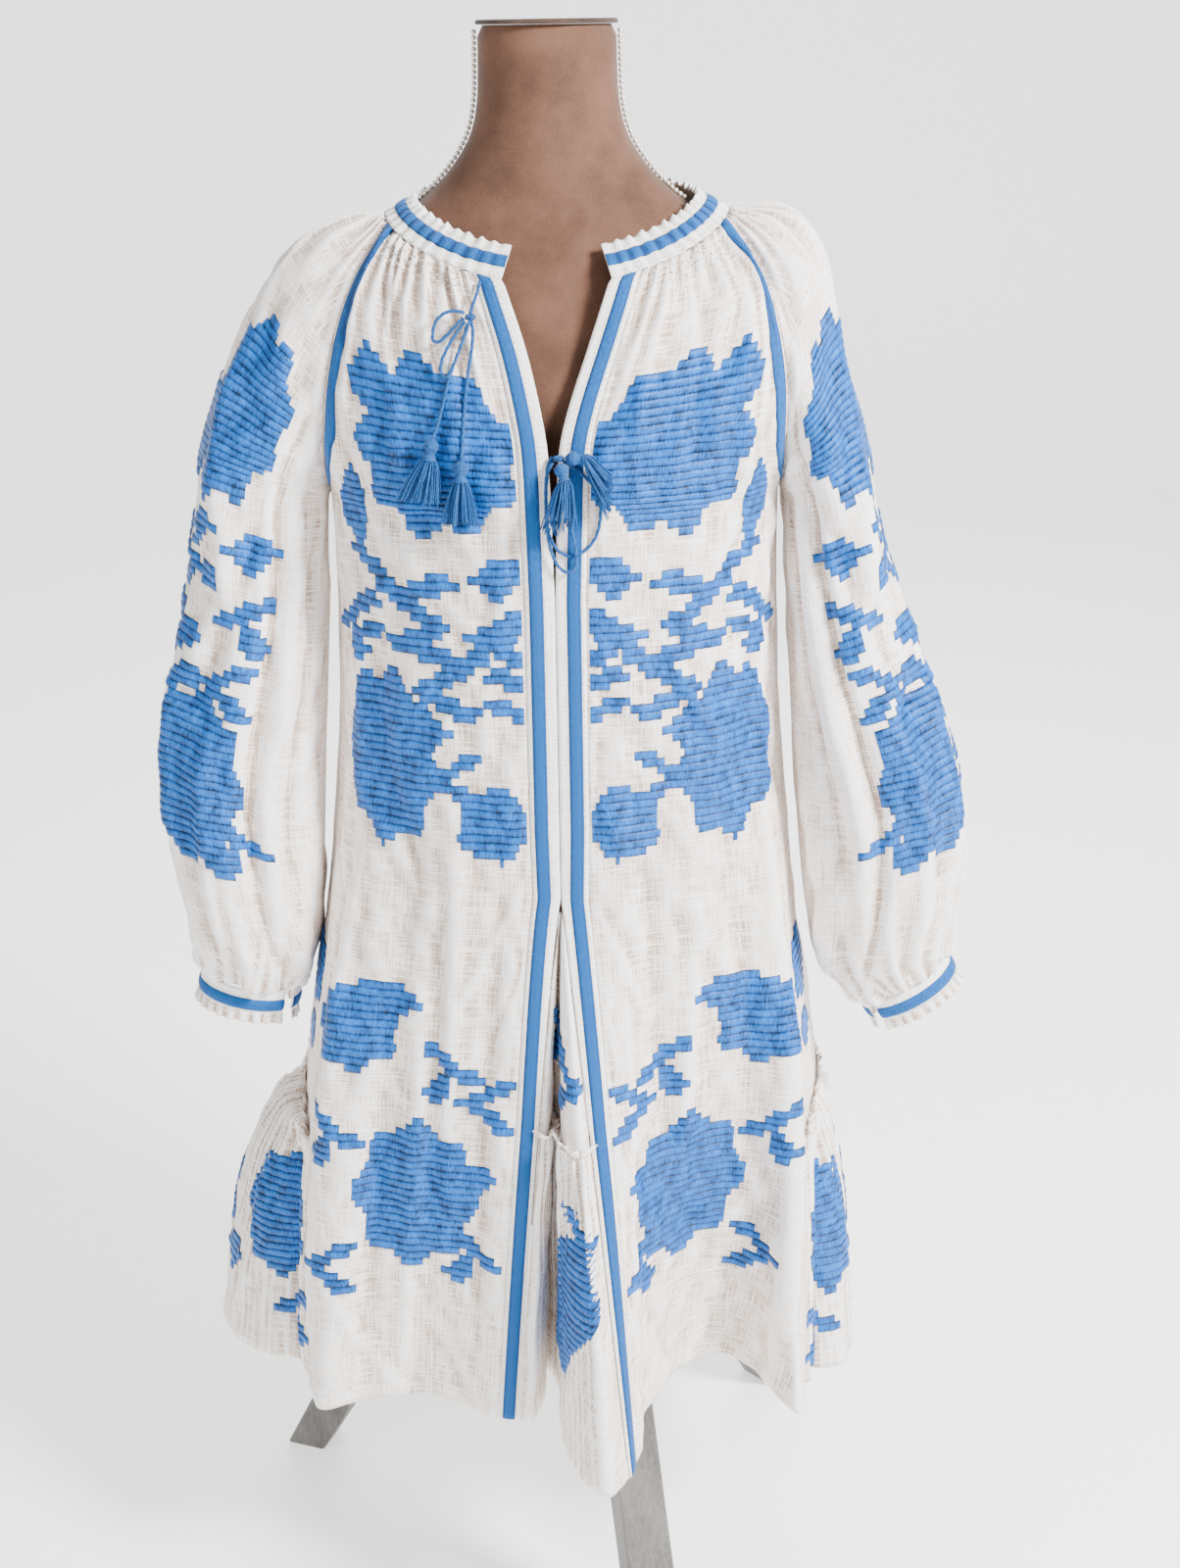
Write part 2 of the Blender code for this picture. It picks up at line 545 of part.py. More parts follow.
def seam_height(share):
    """The height of the raglan seam at a share of the way down."""
    top = neck_ring(RAGLAN_FRONT, 0.0).z
    return top + (UNDERARM - top) * share


def sleeve_point(side, share, angle):
    """A point of the sleeve head: angle from its top, positive to the back."""
    row = head_row(side, share)
    sign = -1.0 if side == "left" else 1.0
    opening = math.radians(row.open_angle)
    seam = Vector((sign * row.seam_x, SLEEVE_HEAD_CENTRE, seam_height(share)))
    top = Vector((sign * row.top_x, SLEEVE_HEAD_CENTRE, row.top_z))
    across = (top - seam) / (1.0 - math.cos(opening))
    centre = top - across
    return centre + across * math.cos(angle) + Vector((0.0, row.half_depth * math.sin(angle), 0.0))


def sleeve_head_line(side, share):
    """The line over the sleeve head, from the front raglan seam to the back one."""
    row = head_row(side, share)
    sign = -1.0 if side == "left" else 1.0
    first = head_row(side, 0.0)
    points = []
    steps = 32
    for k in range(steps + 1):
        t = k / steps
        angle = math.radians(row.open_angle) * (2 * t - 1)
        point = sleeve_point(side, share, angle)
        at_collar = sleeve_point(side, 0.0, math.radians(first.open_angle) * (2 * t - 1))
        ring = neck_ring(sign * (RAGLAN_FRONT + (RAGLAN_BACK - RAGLAN_FRONT) * t), 0.0)
        points.append(point + (ring - at_collar) * (1.0 - share) ** COLLAR_PULL)
    return Line(points)


def sleeve_tube_line(side, tube):
    """A closed ring of the sleeve below the underarm, from one edge of its seam to the other."""
    sign = -1.0 if side == "left" else 1.0
    outer = Vector((sign * tube.outer_x, tube.centre_y, tube.outer_z))
    inner = Vector((sign * tube.inner_x, tube.centre_y, tube.inner_z))
    centre = (outer + inner) / 2
    across = (outer - inner) / 2
    steps = 32
    points = []
    for k in range(steps + 1):
        angle = math.pi * (2 * k / steps - 1)
        points.append(centre + across * math.cos(angle)
                      + Vector((0.0, tube.half_depth * math.sin(angle), 0.0)))
    return Line(points)


def yoke_line(side, share):
    """A row of one front's yoke, from the placket edge to the raglan seam."""
    sign = -1.0 if side == "left" else 1.0
    seam = sleeve_head_line(side, share).points[0]
    low = ring_line(LEFT_FRONT if side == "left" else RIGHT_FRONT, UNDERARM)
    start = placket_offset(side, UNDERARM)
    end = reach(low, seam.y)
    steps = 24
    points = []
    for k in range(steps + 1):
        t = k / steps
        top = neck_ring(sign * (COLLAR_OPEN + (RAGLAN_FRONT - COLLAR_OPEN) * t), 0.0)
        points.append(yoke_point(top, low.at(start + (end - start) * t), share))
    return Line(pulled_to(points, placket_edge(side, share), seam))


def yoke_point(top, bottom, share):
    """A point between the collar and the underarm, where the cloth falls steeper further down."""
    point = top.lerp(bottom, 1.0 - (1.0 - share) ** YOKE_FALL)
    point.z = top.z + (bottom.z - top.z) * share
    return point


def reach(line, depth):
    """The distance along a line that runs from the middle to the side, where it reaches a depth y."""
    first = line.points[0].y
    for i, point in enumerate(line.points):
        if (point.y - depth) * (first - depth) <= 0.0:
            return line.marks[i]
    return line.length


def pulled_to(points, first, last):
    """Points moved so that the line starts and ends at the given places, less and less in between."""
    start = first - points[0]
    end = last - points[-1]
    count = len(points) - 1
    return [p + start * (1 - i / count) + end * (i / count) for i, p in enumerate(points)]


def placket_offset(side, height):
    """How far the front edge stands from the centre."""
    row = read(PLACKET, height)
    return row.left_x if side == "left" else row.right_x


def placket_edge(side, share):
    """The front edge of the yoke at a share of the way down."""
    sign = -1.0 if side == "left" else 1.0
    top = neck_ring(sign * COLLAR_OPEN, 0.0)
    height = top.z + (UNDERARM - top.z) * share
    if share == 0.0:
        return top
    return Vector((sign * placket_offset(side, height), read(CHEST, height).front_y, height))


def back_yoke_line(share):
    """A row of the back yoke, from the left raglan seam to the right one."""
    left = sleeve_head_line("left", share).points[-1]
    right = sleeve_head_line("right", share).points[-1]
    low = ring_line(BACK, UNDERARM)
    half = Line(low.points[::-1][:len(low.points) // 2 + 1][::-1])
    trim = low.length / 2 - reach(half, (left.y + right.y) / 2)
    steps = 48
    points = []
    for k in range(steps + 1):
        t = k / steps
        top = neck_ring(-RAGLAN_BACK - (2 * math.pi - 2 * RAGLAN_BACK) * t, 0.0)
        points.append(yoke_point(top, low.at(trim + (low.length - 2 * trim) * t), share))
    return Line(pulled_to(points, left, right))


# Walls of cloth


class Sheet:
    """Outer points of a piece of cloth, row by row, each with a label for its place along the row."""

    def __init__(self, rows, labels, normals=None):
        self.rows = rows
        self.labels = labels
        self.normals = normals or self.worked_normals()

    def triangles(self):
        """Corners of the triangles between neighbouring rows, as (row, column) pairs."""
        found = []
        for r in range(len(self.rows) - 1):
            upper, lower = self.labels[r], self.labels[r + 1]
            i = j = 0
            while i < len(upper) - 1 or j < len(lower) - 1:
                if j == len(lower) - 1 or (i < len(upper) - 1 and upper[i + 1] <= lower[j + 1] + 1e-9):
                    found.append(((r, i), (r + 1, j), (r, i + 1)))
                    i += 1
                else:
                    found.append(((r, i), (r + 1, j), (r + 1, j + 1)))
                    j += 1
        return found

    def worked_normals(self):
        """The direction out of the cloth at each point."""
        normals = [[Vector() for _ in row] for row in self.rows]
        for corners in self.triangles():
            a, b, c = (self.rows[r][i] for r, i in corners)
            facing = (c - a).cross(b - a)
            for r, i in corners:
                normals[r][i] += facing
        return [[n.normalized() for n in row] for row in normals]

    def moved(self, distance):
        """The same sheet, moved out by a distance."""
        rows = [[p + n * distance for p, n in zip(row, line)]
                for row, line in zip(self.rows, self.normals)]
        return Sheet(rows, self.labels, self.normals)

    def part(self, rows, first, last):
        """The stretch of some rows between two labels, both included."""
        picked, labels, normals = [], [], []
        for r in rows:
            kept = [i for i, label in enumerate(self.labels[r]) if first - 1e-9 <= label <= last + 1e-9]
            picked.append([self.rows[r][i].copy() for i in kept])
            labels.append([self.labels[r][i] for i in kept])
            normals.append([self.normals[r][i] for i in kept])
        return Sheet(picked, labels, normals)


def border(sheet):
    """The outline of a sheet, as (row, column) pairs, down its first column and back up its last."""
    rows = sheet.rows
    last = len(rows) - 1
    path = [(r, 0) for r in range(len(rows))]
    path += [(last, i) for i in range(1, len(rows[last]))]
    path += [(r, len(rows[r]) - 1) for r in range(last - 1, -1, -1)]
    path += [(0, i) for i in range(len(rows[0]) - 2, 0, -1)]
    return path


def inwards(sheet, r, i):
    """The way from a border point into the cloth."""
    rows = sheet.rows
    point = rows[r][i]
    way = Vector()
    if i == 0:
        way += (rows[r][1] - point).normalized()
    if i == len(rows[r]) - 1:
        way += (rows[r][i - 1] - point).normalized()
    share = i / (len(rows[r]) - 1)
    for edge, neighbour in ((0, 1), (len(rows) - 1, len(rows) - 2)):
        if r == edge:
            other = rows[neighbour]
            way += (other[round(share * (len(other) - 1))] - point).normalized()
    return way


def cloth(name, sheet, finish, wall=WALL, relief=EDGE_RELIEF):
    """A closed wall of cloth inside a sheet's points; its cut edges lean in a little."""
    mesh = bmesh.new()
    outer = [[mesh.verts.new(p) for p in row] for row in sheet.rows]
    edge = set(border(sheet))
    inner = []
    for r, row in enumerate(sheet.rows):
        line = []
        for i, p in enumerate(row):
            place = p - sheet.normals[r][i] * wall
            if (r, i) in edge:
                place += inwards(sheet, r, i) * relief
            line.append(mesh.verts.new(place))
        inner.append(line)
    for corners in sheet.triangles():
        mesh.faces.new([outer[r][i] for r, i in reversed(corners)])
        mesh.faces.new([inner[r][i] for r, i in corners])
    path = border(sheet)
    for (r, i), (s, j) in zip(path, path[1:] + path[:1]):
        mesh.faces.new((outer[r][i], outer[s][j], inner[r][i]))
        mesh.faces.new((outer[s][j], inner[s][j], inner[r][i]))
    return made(name, mesh, finish)


def made(name, mesh, finish, sharp_from=40):
    """An object of a finished mesh, shaded smooth up to an angle between its faces, in degrees."""
    data = bpy.data.meshes.new(name)
    mesh.to_mesh(data)
    mesh.free()
    data.shade_smooth()
    data.set_sharp_from_angle(angle=math.radians(sharp_from))
    return finished(name, data, finish)


def finished(name, data, finish):
    """An object in its place, with a material of its own."""
    thing = bpy.data.objects.new(name, data)
    thing.location = ORIGIN_SHIFT
    bpy.context.scene.collection.objects.link(thing)
    look = FINISHES[finish]
    material = bpy.data.materials.new(thing.name + " " + finish)
    material.use_nodes = True
    shader = material.node_tree.nodes["Principled BSDF"]
    shader.inputs["Base Color"].default_value = (*look.colour, 1.0)
    shader.inputs["Roughness"].default_value = look.roughness
    shader.inputs["Metallic"].default_value = look.metallic
    material.diffuse_color = (*look.colour, 1.0)
    thing.data.materials.append(material)
    return thing


# Rows of the pieces


def row_points(line, places, waves):
    """Points at distances along a line, moved out or in by waves."""
    points = []
    for place, wave in zip(places, waves):
        along = line.at(place + SLOPE_STEP) - line.at(place - SLOPE_STEP)
        points.append(line.at(place) + out_of_row(along) * wave)
    return points


def flat_row(line, places):
    """Points at distances along a line."""
    return [line.at(place) for place in places]


def out_of_row(along):
    """Out of the cloth, for a row that runs to the left round the body seen from above."""
    return Vector((-along.y, along.x, 0.0)).normalized()


def even_places(first, last, count):
    """Evenly spaced distances, both ends included."""
    return [first + (last - first) * k / count for k in range(count + 1)]


def wave_signs(count, height):
    """Alternate waves for count + 1 points, flat at both ends."""
    inner = [height * (1 if k % 2 else -1) for k in range(1, count)]
    return [0.0] + inner + [0.0]


def shares(count):
    """The labels of count + 1 evenly spaced points."""
    return [k / count for k in range(count + 1)]


def front_rows(side):
    """All rows of one front, collar to hem: the line, the start of its band, a wave and a height."""
    rows = []
    folds = LEFT_FRONT if side == "left" else RIGHT_FRONT
    for share, wave in zip(YOKE_SHARES, YOKE_WAVE_HEIGHTS):
        rows.append((yoke_line(side, share), 0.0, wave, UNDERARM))
    for level in BODY_LEVELS[1:] + TIER_LEVELS[1:]:
        start = placket_offset(side, level) if level > GODET_TOP else SEAM_GAP
        rows.append((ring_line(folds, level), max(start, SEAM_GAP), 0.0, level))
    return rows


def band_places(level):
    """The columns of a front band at a level: the white edge is narrower beside the godet."""
    start, length = BAND_NARROWING
    share = min(max((start - level) / length, 0.0), 1.0)
    return [high + (low - high) * share for high, low in zip(BAND_COLUMNS, LOW_BAND_COLUMNS)]


def build_front(side):
    """The front panel, its placket band, the band's ribbon and the raglan ribbon of one side."""
    panel, band = [], []
    panel_labels, band_labels = [], []
    facing = 1.0 if side == "left" else -1.0
    for r, (line, start, wave, level) in enumerate(front_rows(side)):
        places = [start + place for place in band_places(level)]
        band.append(flat_row(line, places))
        band_labels.append(BAND_LABELS)
        count = 2 * YOKE_WAVES if r < FINE_YOKE_ROWS else YOKE_WAVES
        main = even_places(places[-1] + 2 * SEAM_GAP, line.length - RAGLAN_RIBBON[0], count)
        edge = [line.length - RAGLAN_RIBBON[1], line.length - SEAM_GAP]
        panel.append(row_points(line, main + edge, wave_signs(count, wave * facing) + [0.0, 0.0]))
        panel_labels.append(shares(count) + [1.0 + label for label in RAGLAN_LABELS])
    if side == "right":
        panel, panel_labels = mirrored_order(panel, panel_labels)
        band, band_labels = mirrored_order(band, band_labels)
    panel_sheet = Sheet(panel, panel_labels)
    band_sheet = Sheet(band, band_labels)
    cloth(f"front_panel_{side}", panel_sheet, "linen")
    cloth(f"front_band_{side}", band_sheet, "linen")
    inner, outer = sorted((facing * BAND_LABELS[1], facing * BAND_LABELS[2]))
    ribbon_on(f"front_ribbon_{side}", band_sheet, range(len(band)), inner, outer)
    inner, outer = sorted((facing, facing * (1.0 + RAGLAN_LABELS[0])))
    ribbon_on(f"raglan_ribbon_front_{side}", panel_sheet, range(len(YOKE_SHARES) - 1), inner, outer)


def ribbon_on(name, sheet, rows, first, last):
    """A ribbon on a stretch of a sheet, made from its points moved out."""
    ribbon = sheet.part(rows, first, last).moved(LAID_GAP + RIBBON_WALL)
    cloth(name, ribbon, "ribbon", RIBBON_WALL, 0.0)


def mirrored_order(rows, labels):
    """Rows turned round, so that the cloth's outside stays outside on the other half."""
    return [row[::-1] for row in rows], [[-label for label in line[::-1]] for line in labels]


def build_back():
    """The back panel and the raglan ribbons on it."""
    rows, labels = [], []
    levels = [(back_yoke_line(s), w) for s, w in zip(YOKE_SHARES, YOKE_WAVE_HEIGHTS)]
    levels += [(ring_line(BACK, level), 0.0) for level in BODY_LEVELS[1:] + TIER_LEVELS[1:]]
    near, far = RAGLAN_LABELS
    for r, (line, wave) in enumerate(levels):
        count = 2 * BACK_WAVES if r < FINE_YOKE_ROWS else BACK_WAVES
        first = [SEAM_GAP, RAGLAN_RIBBON[1]]
        last = [line.length - RAGLAN_RIBBON[1], line.length - SEAM_GAP]
        main = even_places(RAGLAN_RIBBON[0], line.length - RAGLAN_RIBBON[0], count)
        waves = [0.0, 0.0] + wave_signs(count, wave) + [0.0, 0.0]
        rows.append(row_points(line, first + main + last, waves))
        labels.append([-far, -near] + shares(count) + [1.0 + near, 1.0 + far])
    sheet = Sheet(rows, labels)
    cloth("back_panel", sheet, "linen")
    for side, low, high in (("left", -near, 0.0), ("right", 1.0, 1.0 + near)):
        ribbon_on(f"raglan_ribbon_back_{side}", sheet, range(len(YOKE_SHARES) - 1), low, high)


def build_side(side):
    """The narrow side panel and the gathered tier under it."""
    folds = LEFT_TIER if side == "left" else RIGHT_TIER
    facing = 1.0 if side == "left" else -1.0
    rows, labels = [], []
    for r, level in enumerate(BODY_LEVELS):
        line = side_line(folds, level) if r else underarm_line(side)
        count = SIDE_COLUMNS // 2 if r < 2 else SIDE_COLUMNS
        rows.append(flat_row(line, even_places(SEAM_GAP, line.length - SEAM_GAP, count)))
        labels.append(shares(count))
    sided_cloth(f"side_panel_{side}", side, rows, labels)
    rows, labels = [], []
    for r, level in enumerate(TIER_LEVELS):
        line = ring_line(folds, level) if r else side_line(folds, level)
        count = 2 * TIER_WAVES if r < FINE_TIER_ROWS else TIER_WAVES
        waves = wave_signs(count, TIER_WAVE_HEIGHTS[r] * facing)
        points = row_points(line, even_places(SEAM_GAP, line.length - SEAM_GAP, count), waves)
        rows.append(points if r else lowered(points))
        labels.append(shares(count))
    sided_cloth(f"side_tier_{side}", side, rows, labels)


def lowered(points):
    """Points just below a level seam."""
    return [point - Vector((0.0, 0.0, 2 * SEAM_GAP)) for point in points]


def sided_cloth(name, side, rows, labels):
    """A linen wall from rows that run away from the centre front, on either side."""
    if side == "right":
        rows, labels = mirrored_order(rows, labels)
    return cloth(name, Sheet(rows, labels), "linen")


def build_godet():
    """The centre godet: a plain point under the placket and the gathered tier below it."""
    rows, labels = [], []
    for level in BODY_LEVELS:
        if GODET_SEAM <= level < GODET_TOP:
            line = godet_line(level)
            rows.append(flat_row(line, even_places(SEAM_GAP, line.length - SEAM_GAP, GODET_COLUMNS)))
            labels.append(shares(GODET_COLUMNS))
    apex = fold_point(LEFT_FRONT[0], GODET_TOP) + placket_tuck("left", GODET_TOP)
    inset = Vector((SEAM_GAP, 0.0, 0.0))
    tip = [apex.lerp(rows[0][0], GODET_TIP) + inset, apex.lerp(rows[0][-1], GODET_TIP) - inset]
    rows.insert(0, tip)
    labels.insert(0, shares(1))
    sided_cloth("godet_upper", "right", rows, labels)
    rows, labels = [], []
    count = 2 * GODET_WAVES
    for r, level in enumerate((GODET_SEAM,) + TIER_LEVELS):
        line = godet_line(level)
        places = even_places(SEAM_GAP, line.length - SEAM_GAP, count)
        points = row_points(line, places, wave_signs(count, -GODET_WAVE_HEIGHTS[r]))
        rows.append(points if r else lowered(points))
        labels.append(shares(count))
    sided_cloth("godet_tier", "right", rows, labels)


def build_sleeve(side):
    """One raglan sleeve, open along its underarm seam."""
    rows, labels = [], []
    lines = [(sleeve_head_line(side, s), w) for s, w in zip(YOKE_SHARES, SLEEVE_WAVE_HEIGHTS)]
    lines += [(sleeve_tube_line(side, tube), 0.0) for tube in SLEEVE_TUBES[side]]
    fine_from = len(lines) - len(CUFF_WAVE_HEIGHTS)
    for r, (line, wave) in enumerate(lines):
        count = 2 * SLEEVE_WAVES
        if r >= fine_from:
            count = 2 * CUFF_WAVES
            wave = CUFF_WAVE_HEIGHTS[r - fine_from]
        lifts = wave_signs(count, wave)
        if r < len(YOKE_SHARES):
            lifts[0] = lifts[-1] = -2 * LAID_GAP
        points = flat_row(line, even_places(SEAM_GAP, line.length - SEAM_GAP, count))
        middle = sum(points, Vector()) / len(points)
        rows.append([p + (p - middle).normalized() * lift for p, lift in zip(points, lifts)])
        labels.append(shares(count))
    sided_cloth(f"sleeve_{side}", side, rows, labels)


def cuff_point(side, angle, down, flare=0.0):
    """A point of the cuff: angle from the outer line, distance down from the sleeve's end."""
    sign = -1.0 if side == "left" else 1.0
    tube = SLEEVE_TUBES[side][-1]
    outer = Vector((sign * tube.outer_x, tube.centre_y, tube.outer_z))
    inner = Vector((sign * tube.inner_x, tube.centre_y, tube.inner_z))
    across = (outer - inner) / 2
    axis = Vector((across.z, 0.0, -across.x)).normalized()
    if axis.z > 0:
        axis = -axis
    size = 1.0 + flare / across.length
    deep = tube.half_depth + flare
    return ((outer + inner) / 2 + axis * (down + 2 * SEAM_GAP)
            + across * (size * math.cos(angle)) + Vector((0.0, deep * math.sin(angle), 0.0)))


def build_cuff(side):
    """The cuff band, its ribbon and the frill at its lower edge."""
    count = 2 * CUFF_FRILLS
    angles = even_places(*CUFF_OPEN, count)
    rows = [[cuff_point(side, angle, down) for angle in angles] for down in CUFF_LINES]
    labels = [shares(count)] * len(rows)
    frill = []
    for share in CUFF_FRILL_ROWS:
        down = CUFF_LINES[-1] + 2 * SEAM_GAP + CUFF_FRILL * share
        lifts = wave_signs(count, CUFF_FRILL_WAVE * share)
        frill.append([cuff_point(side, angle, down, lift + CUFF_FRILL_FLARE * share)
                      for angle, lift in zip(angles, lifts)])
    sided_cloth(f"cuff_frill_{side}", side, frill, [shares(count)] * len(frill))
    if side == "right":
        rows, labels = mirrored_order(rows, labels)
    band = Sheet(rows, labels)
    cloth(f"cuff_{side}", band, "linen")
    ribbon_on(f"cuff_ribbon_{side}", band, (1, 2), -1.0, 1.0)


def build_collar():
    """The collar band with its frilled edge, and the ribbon round it."""
    rows, labels = [], []
    for rise, wave in zip(COLLAR_RISES, COLLAR_WAVE_HEIGHTS):
        count = 2 * COLLAR_FRILLS if wave else COLLAR_FRILLS
        angles = even_places(-COLLAR_OPEN, COLLAR_OPEN - 2 * math.pi, count)
        row = []
        for angle, lift in zip(angles, wave_signs(count, wave)):
            point = neck_ring(angle, rise)
            across = neck_ring(angle, 1.0) - neck_ring(angle, 0.0)
            along = neck_ring(angle - ANGLE_STEP, rise) - neck_ring(angle + ANGLE_STEP, rise)
            row.append(point + across.cross(along).normalized() * lift)
        rows.append(row)
        labels.append(shares(count))
    sheet = Sheet(rows, labels)
    cloth("collar_band", sheet, "linen")
    ribbon_on("collar_ribbon", sheet, COLLAR_RIBBON_ROWS, 0.0, 1.0)


# Ties


def build_ties():
    """The cords, knots and tassels of the neck tie and the front tie."""
    for name, (knot, route) in TIE_ROUTES.items():
        build_cord(name, [knot + Vector(step) for step in route])
    for name, centre in (("neck_tie_knot", NECK_KNOT), ("front_tie_knot", FRONT_KNOT)):
        build_knot(name, centre)
    for tassel in TASSELS:
        build_tassel(tassel)


def build_cord(name, route):
    """A round cord along a smooth line through its route."""
    line = Line(curve_through(route))
    count = max(round(line.length / CORD_STEP), 3)
    data = bpy.data.curves.new(name, "CURVE")
    data.dimensions = "3D"
    data.bevel_depth = CORD / 2
    data.bevel_resolution = 2
    data.use_fill_caps = True
    spline = data.splines.new("POLY")
    spline.points.add(count)
    for k in range(count + 1):
        spline.points[k].co = (*line.at(line.length * k / count), 1.0)
    finished(name, data, "thread")


def build_knot(name, centre):
    """A small round knot."""
    mesh = bmesh.new()
    bmesh.ops.create_icosphere(mesh, subdivisions=2, radius=KNOT_RADIUS)
    for vert in mesh.verts:
        vert.co = vert.co + centre
    made(name, mesh, "thread")


def build_tassel(tassel):
    """A tassel: a round head whose lower face carries the strands of the fringe."""
    down = tassel.down.normalized()
    side = down.cross(Vector((0.0, 1.0, 0.0))).normalized()
    turns = [2 * math.pi * k / TASSEL_SIDES for k in range(TASSEL_SIDES)]
    spokes = [side * math.cos(turn) + down.cross(side) * math.sin(turn) for turn in turns]
    mesh = bmesh.new()
    rings = []
    for distance, radius in TASSEL_HEAD:
        centre = tassel.top + down * distance
        rings.append([mesh.verts.new(centre + spoke * radius) for spoke in spokes])
    distance, radius = TASSEL_HEAD[-1]
    base = tassel.top + down * distance
    core = [mesh.verts.new(base + spoke * radius * TASSEL_CORE) for spoke in spokes]
    middle = mesh.verts.new(base)
    mesh.faces.new(rings[0])
    for k in range(TASSEL_SIDES):
        n = (k + 1) % TASSEL_SIDES
        for upper, lower in zip(rings, rings[1:]):
            mesh.faces.new((upper[k], lower[k], lower[n], upper[n]))
        for root in ((rings[-1][k], core[k], core[n], rings[-1][n]), (core[k], middle, core[n])):
            build_strand(mesh, root, base, tassel)
    bmesh.ops.recalc_face_normals(mesh, faces=mesh.faces)
    made(tassel.name, mesh, "thread")


def build_strand(mesh, root, base, tassel):
    """One lock of a tassel's fringe, out of its share of the head's lower face."""
    centre = sum((vert.co for vert in root), Vector()) / len(root)
    spread = (centre - base) * (tassel.spread / TASSEL_HEAD[-1][1])
    spread.y *= FRINGE_DEPTH
    fall = tassel.fall.normalized() * TASSEL_FALL
    rim = list(root)
    for fall_share, spread_share, size in ((0.0, 0.0, 1.0),) + STRAND_SECTIONS:
        place = centre + fall * fall_share + spread * spread_share
        ring = [mesh.verts.new(place + (vert.co - centre) * STRAND_SIZE * size) for vert in root]
        for i in range(len(root)):
            j = (i + 1) % len(root)
            mesh.faces.new((rim[i], ring[i], ring[j], rim[j]))
        rim = ring
    mesh.faces.new(rim)


# Dress form and stand


def lofted(name, rings, finish, sharp_from=40):
    """A closed body through rings of points, with flat ends."""
    mesh = bmesh.new()
    loops = [[mesh.verts.new(p) for p in ring] for ring in rings]
    count = len(rings[0])
    for upper, lower in zip(loops, loops[1:]):
        for i in range(count):
            j = (i + 1) % count
            mesh.faces.new((upper[i], lower[i], lower[j], upper[j]))
    mesh.faces.new(loops[0])
    mesh.faces.new(loops[-1][::-1])
    bmesh.ops.recalc_face_normals(mesh, faces=mesh.faces)
    return made(name, mesh, finish, sharp_from)


def build_form():
    """The smooth limbless torso, its neck cap and the post that carries it."""
    rings = []
    for row in FORM:
        ring = []
        for k in range(FORM_COLUMNS):
            turn = 2 * math.pi * k / FORM_COLUMNS
            depth = row.front if math.cos(turn) > 0 else row.back
            ring.append(Vector((
                row.half_width * signed_power(math.sin(turn), FORM_SQUARENESS),
                -depth * signed_power(math.cos(turn), FORM_SQUARENESS),
                row.height,
            )))
        rings.append(ring)
    lofted("form_torso", rings, "velvet")
    cap_bottom = FORM[0].height + LAID_GAP
    rings = [turned_ring(radius, cap_bottom + rise, FORM_COLUMNS) for rise, radius in CAP_PROFILE]
    lofted("form_neck_cap", rings, "cap")
    ends = (FORM[-1].height - LAID_GAP, HUB_LEVELS[1] + LAID_GAP)
    lofted("stand_post", [turned_ring(POST_RADIUS, z, POST_COLUMNS) for z in ends], "rod")


def turned_ring(radius, height, count):
    """A level circle of points round the post."""
    return [
        Vector((radius * math.sin(2 * math.pi * k / count), -radius * math.cos(2 * math.pi * k / count), height))
        for k in range(count)
    ]


def build_stand():
    """The hub and three curved board legs on the floor."""
    lofted("stand_hub", [turned_ring(HUB_RADIUS, z, HUB_COLUMNS) for z in HUB_LEVELS], "painted wood")
    line = curve_through([Vector((leg.radius, leg.height, leg.depth)) for leg in LEG], 1)
    for number, azimuth in enumerate(LEG_AZIMUTHS, start=1):
        build_leg(f"stand_leg_{number}", line, math.radians(azimuth))


def build_leg(name, line, azimuth):
    """A board leg: its curved side outline, given a thickness, with a level foot."""
    upper, lower = [], []
    for i, here in enumerate(line):
        before = line[max(i - 1, 0)]
        after = line[min(i + 1, len(line) - 1)]
        along = Vector((after.x - before.x, after.y - before.y)).normalized()
        across = Vector((-along.y, along.x)) * here.z / 2
        if i == 0:
            across = Vector((0.0, here.z / 2))
        if i == len(line) - 1:
            across = Vector((here.z / 2, 0.0))
        upper.append(Vector((here.x, here.y)) + across)
        lower.append(Vector((here.x, here.y)) - across)
    out = Vector((math.sin(azimuth), -math.cos(azimuth), 0.0))
    side = Vector((math.cos(azimuth), math.sin(azimuth), 0.0)) * LEG_WIDTH / 2
    rings = []
    for high, low in zip(upper, lower):
        ring = []
        for corner, sign in ((high, 1), (high, -1), (low, -1), (low, 1)):
            ring.append(out * corner.x + Vector((0.0, 0.0, max(corner.y, 0.0))) + side * sign)
        rings.append(ring)
    lofted(name, rings, "painted wood", 25)


def main():
    """Builds the dress and its form."""
    for thing in list(bpy.data.objects):
        bpy.data.objects.remove(thing, do_unlink=True)
    build_form()
    build_stand()
    for side in ("left", "right"):
        build_front(side)
        build_side(side)
        build_sleeve(side)
        build_cuff(side)
    build_back()
    build_godet()
    build_collar()
    build_ties()


main()
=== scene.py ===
"""Embroidered linen dress on a limbless dress form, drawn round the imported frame.

Metres, +Z up, the front of the dress towards -Y, "left" is the side at -X. Each piece of cloth is a thin
shell on the form of its solid: a grid of rows that run across the piece, from seam to seam.
"""

import logging
import math
from collections.abc import Iterable, Sequence
from dataclasses import dataclass, field, replace
from enum import Enum
from functools import cache
from itertools import repeat

import bpy
import numpy as np
from mathutils import Matrix, Vector


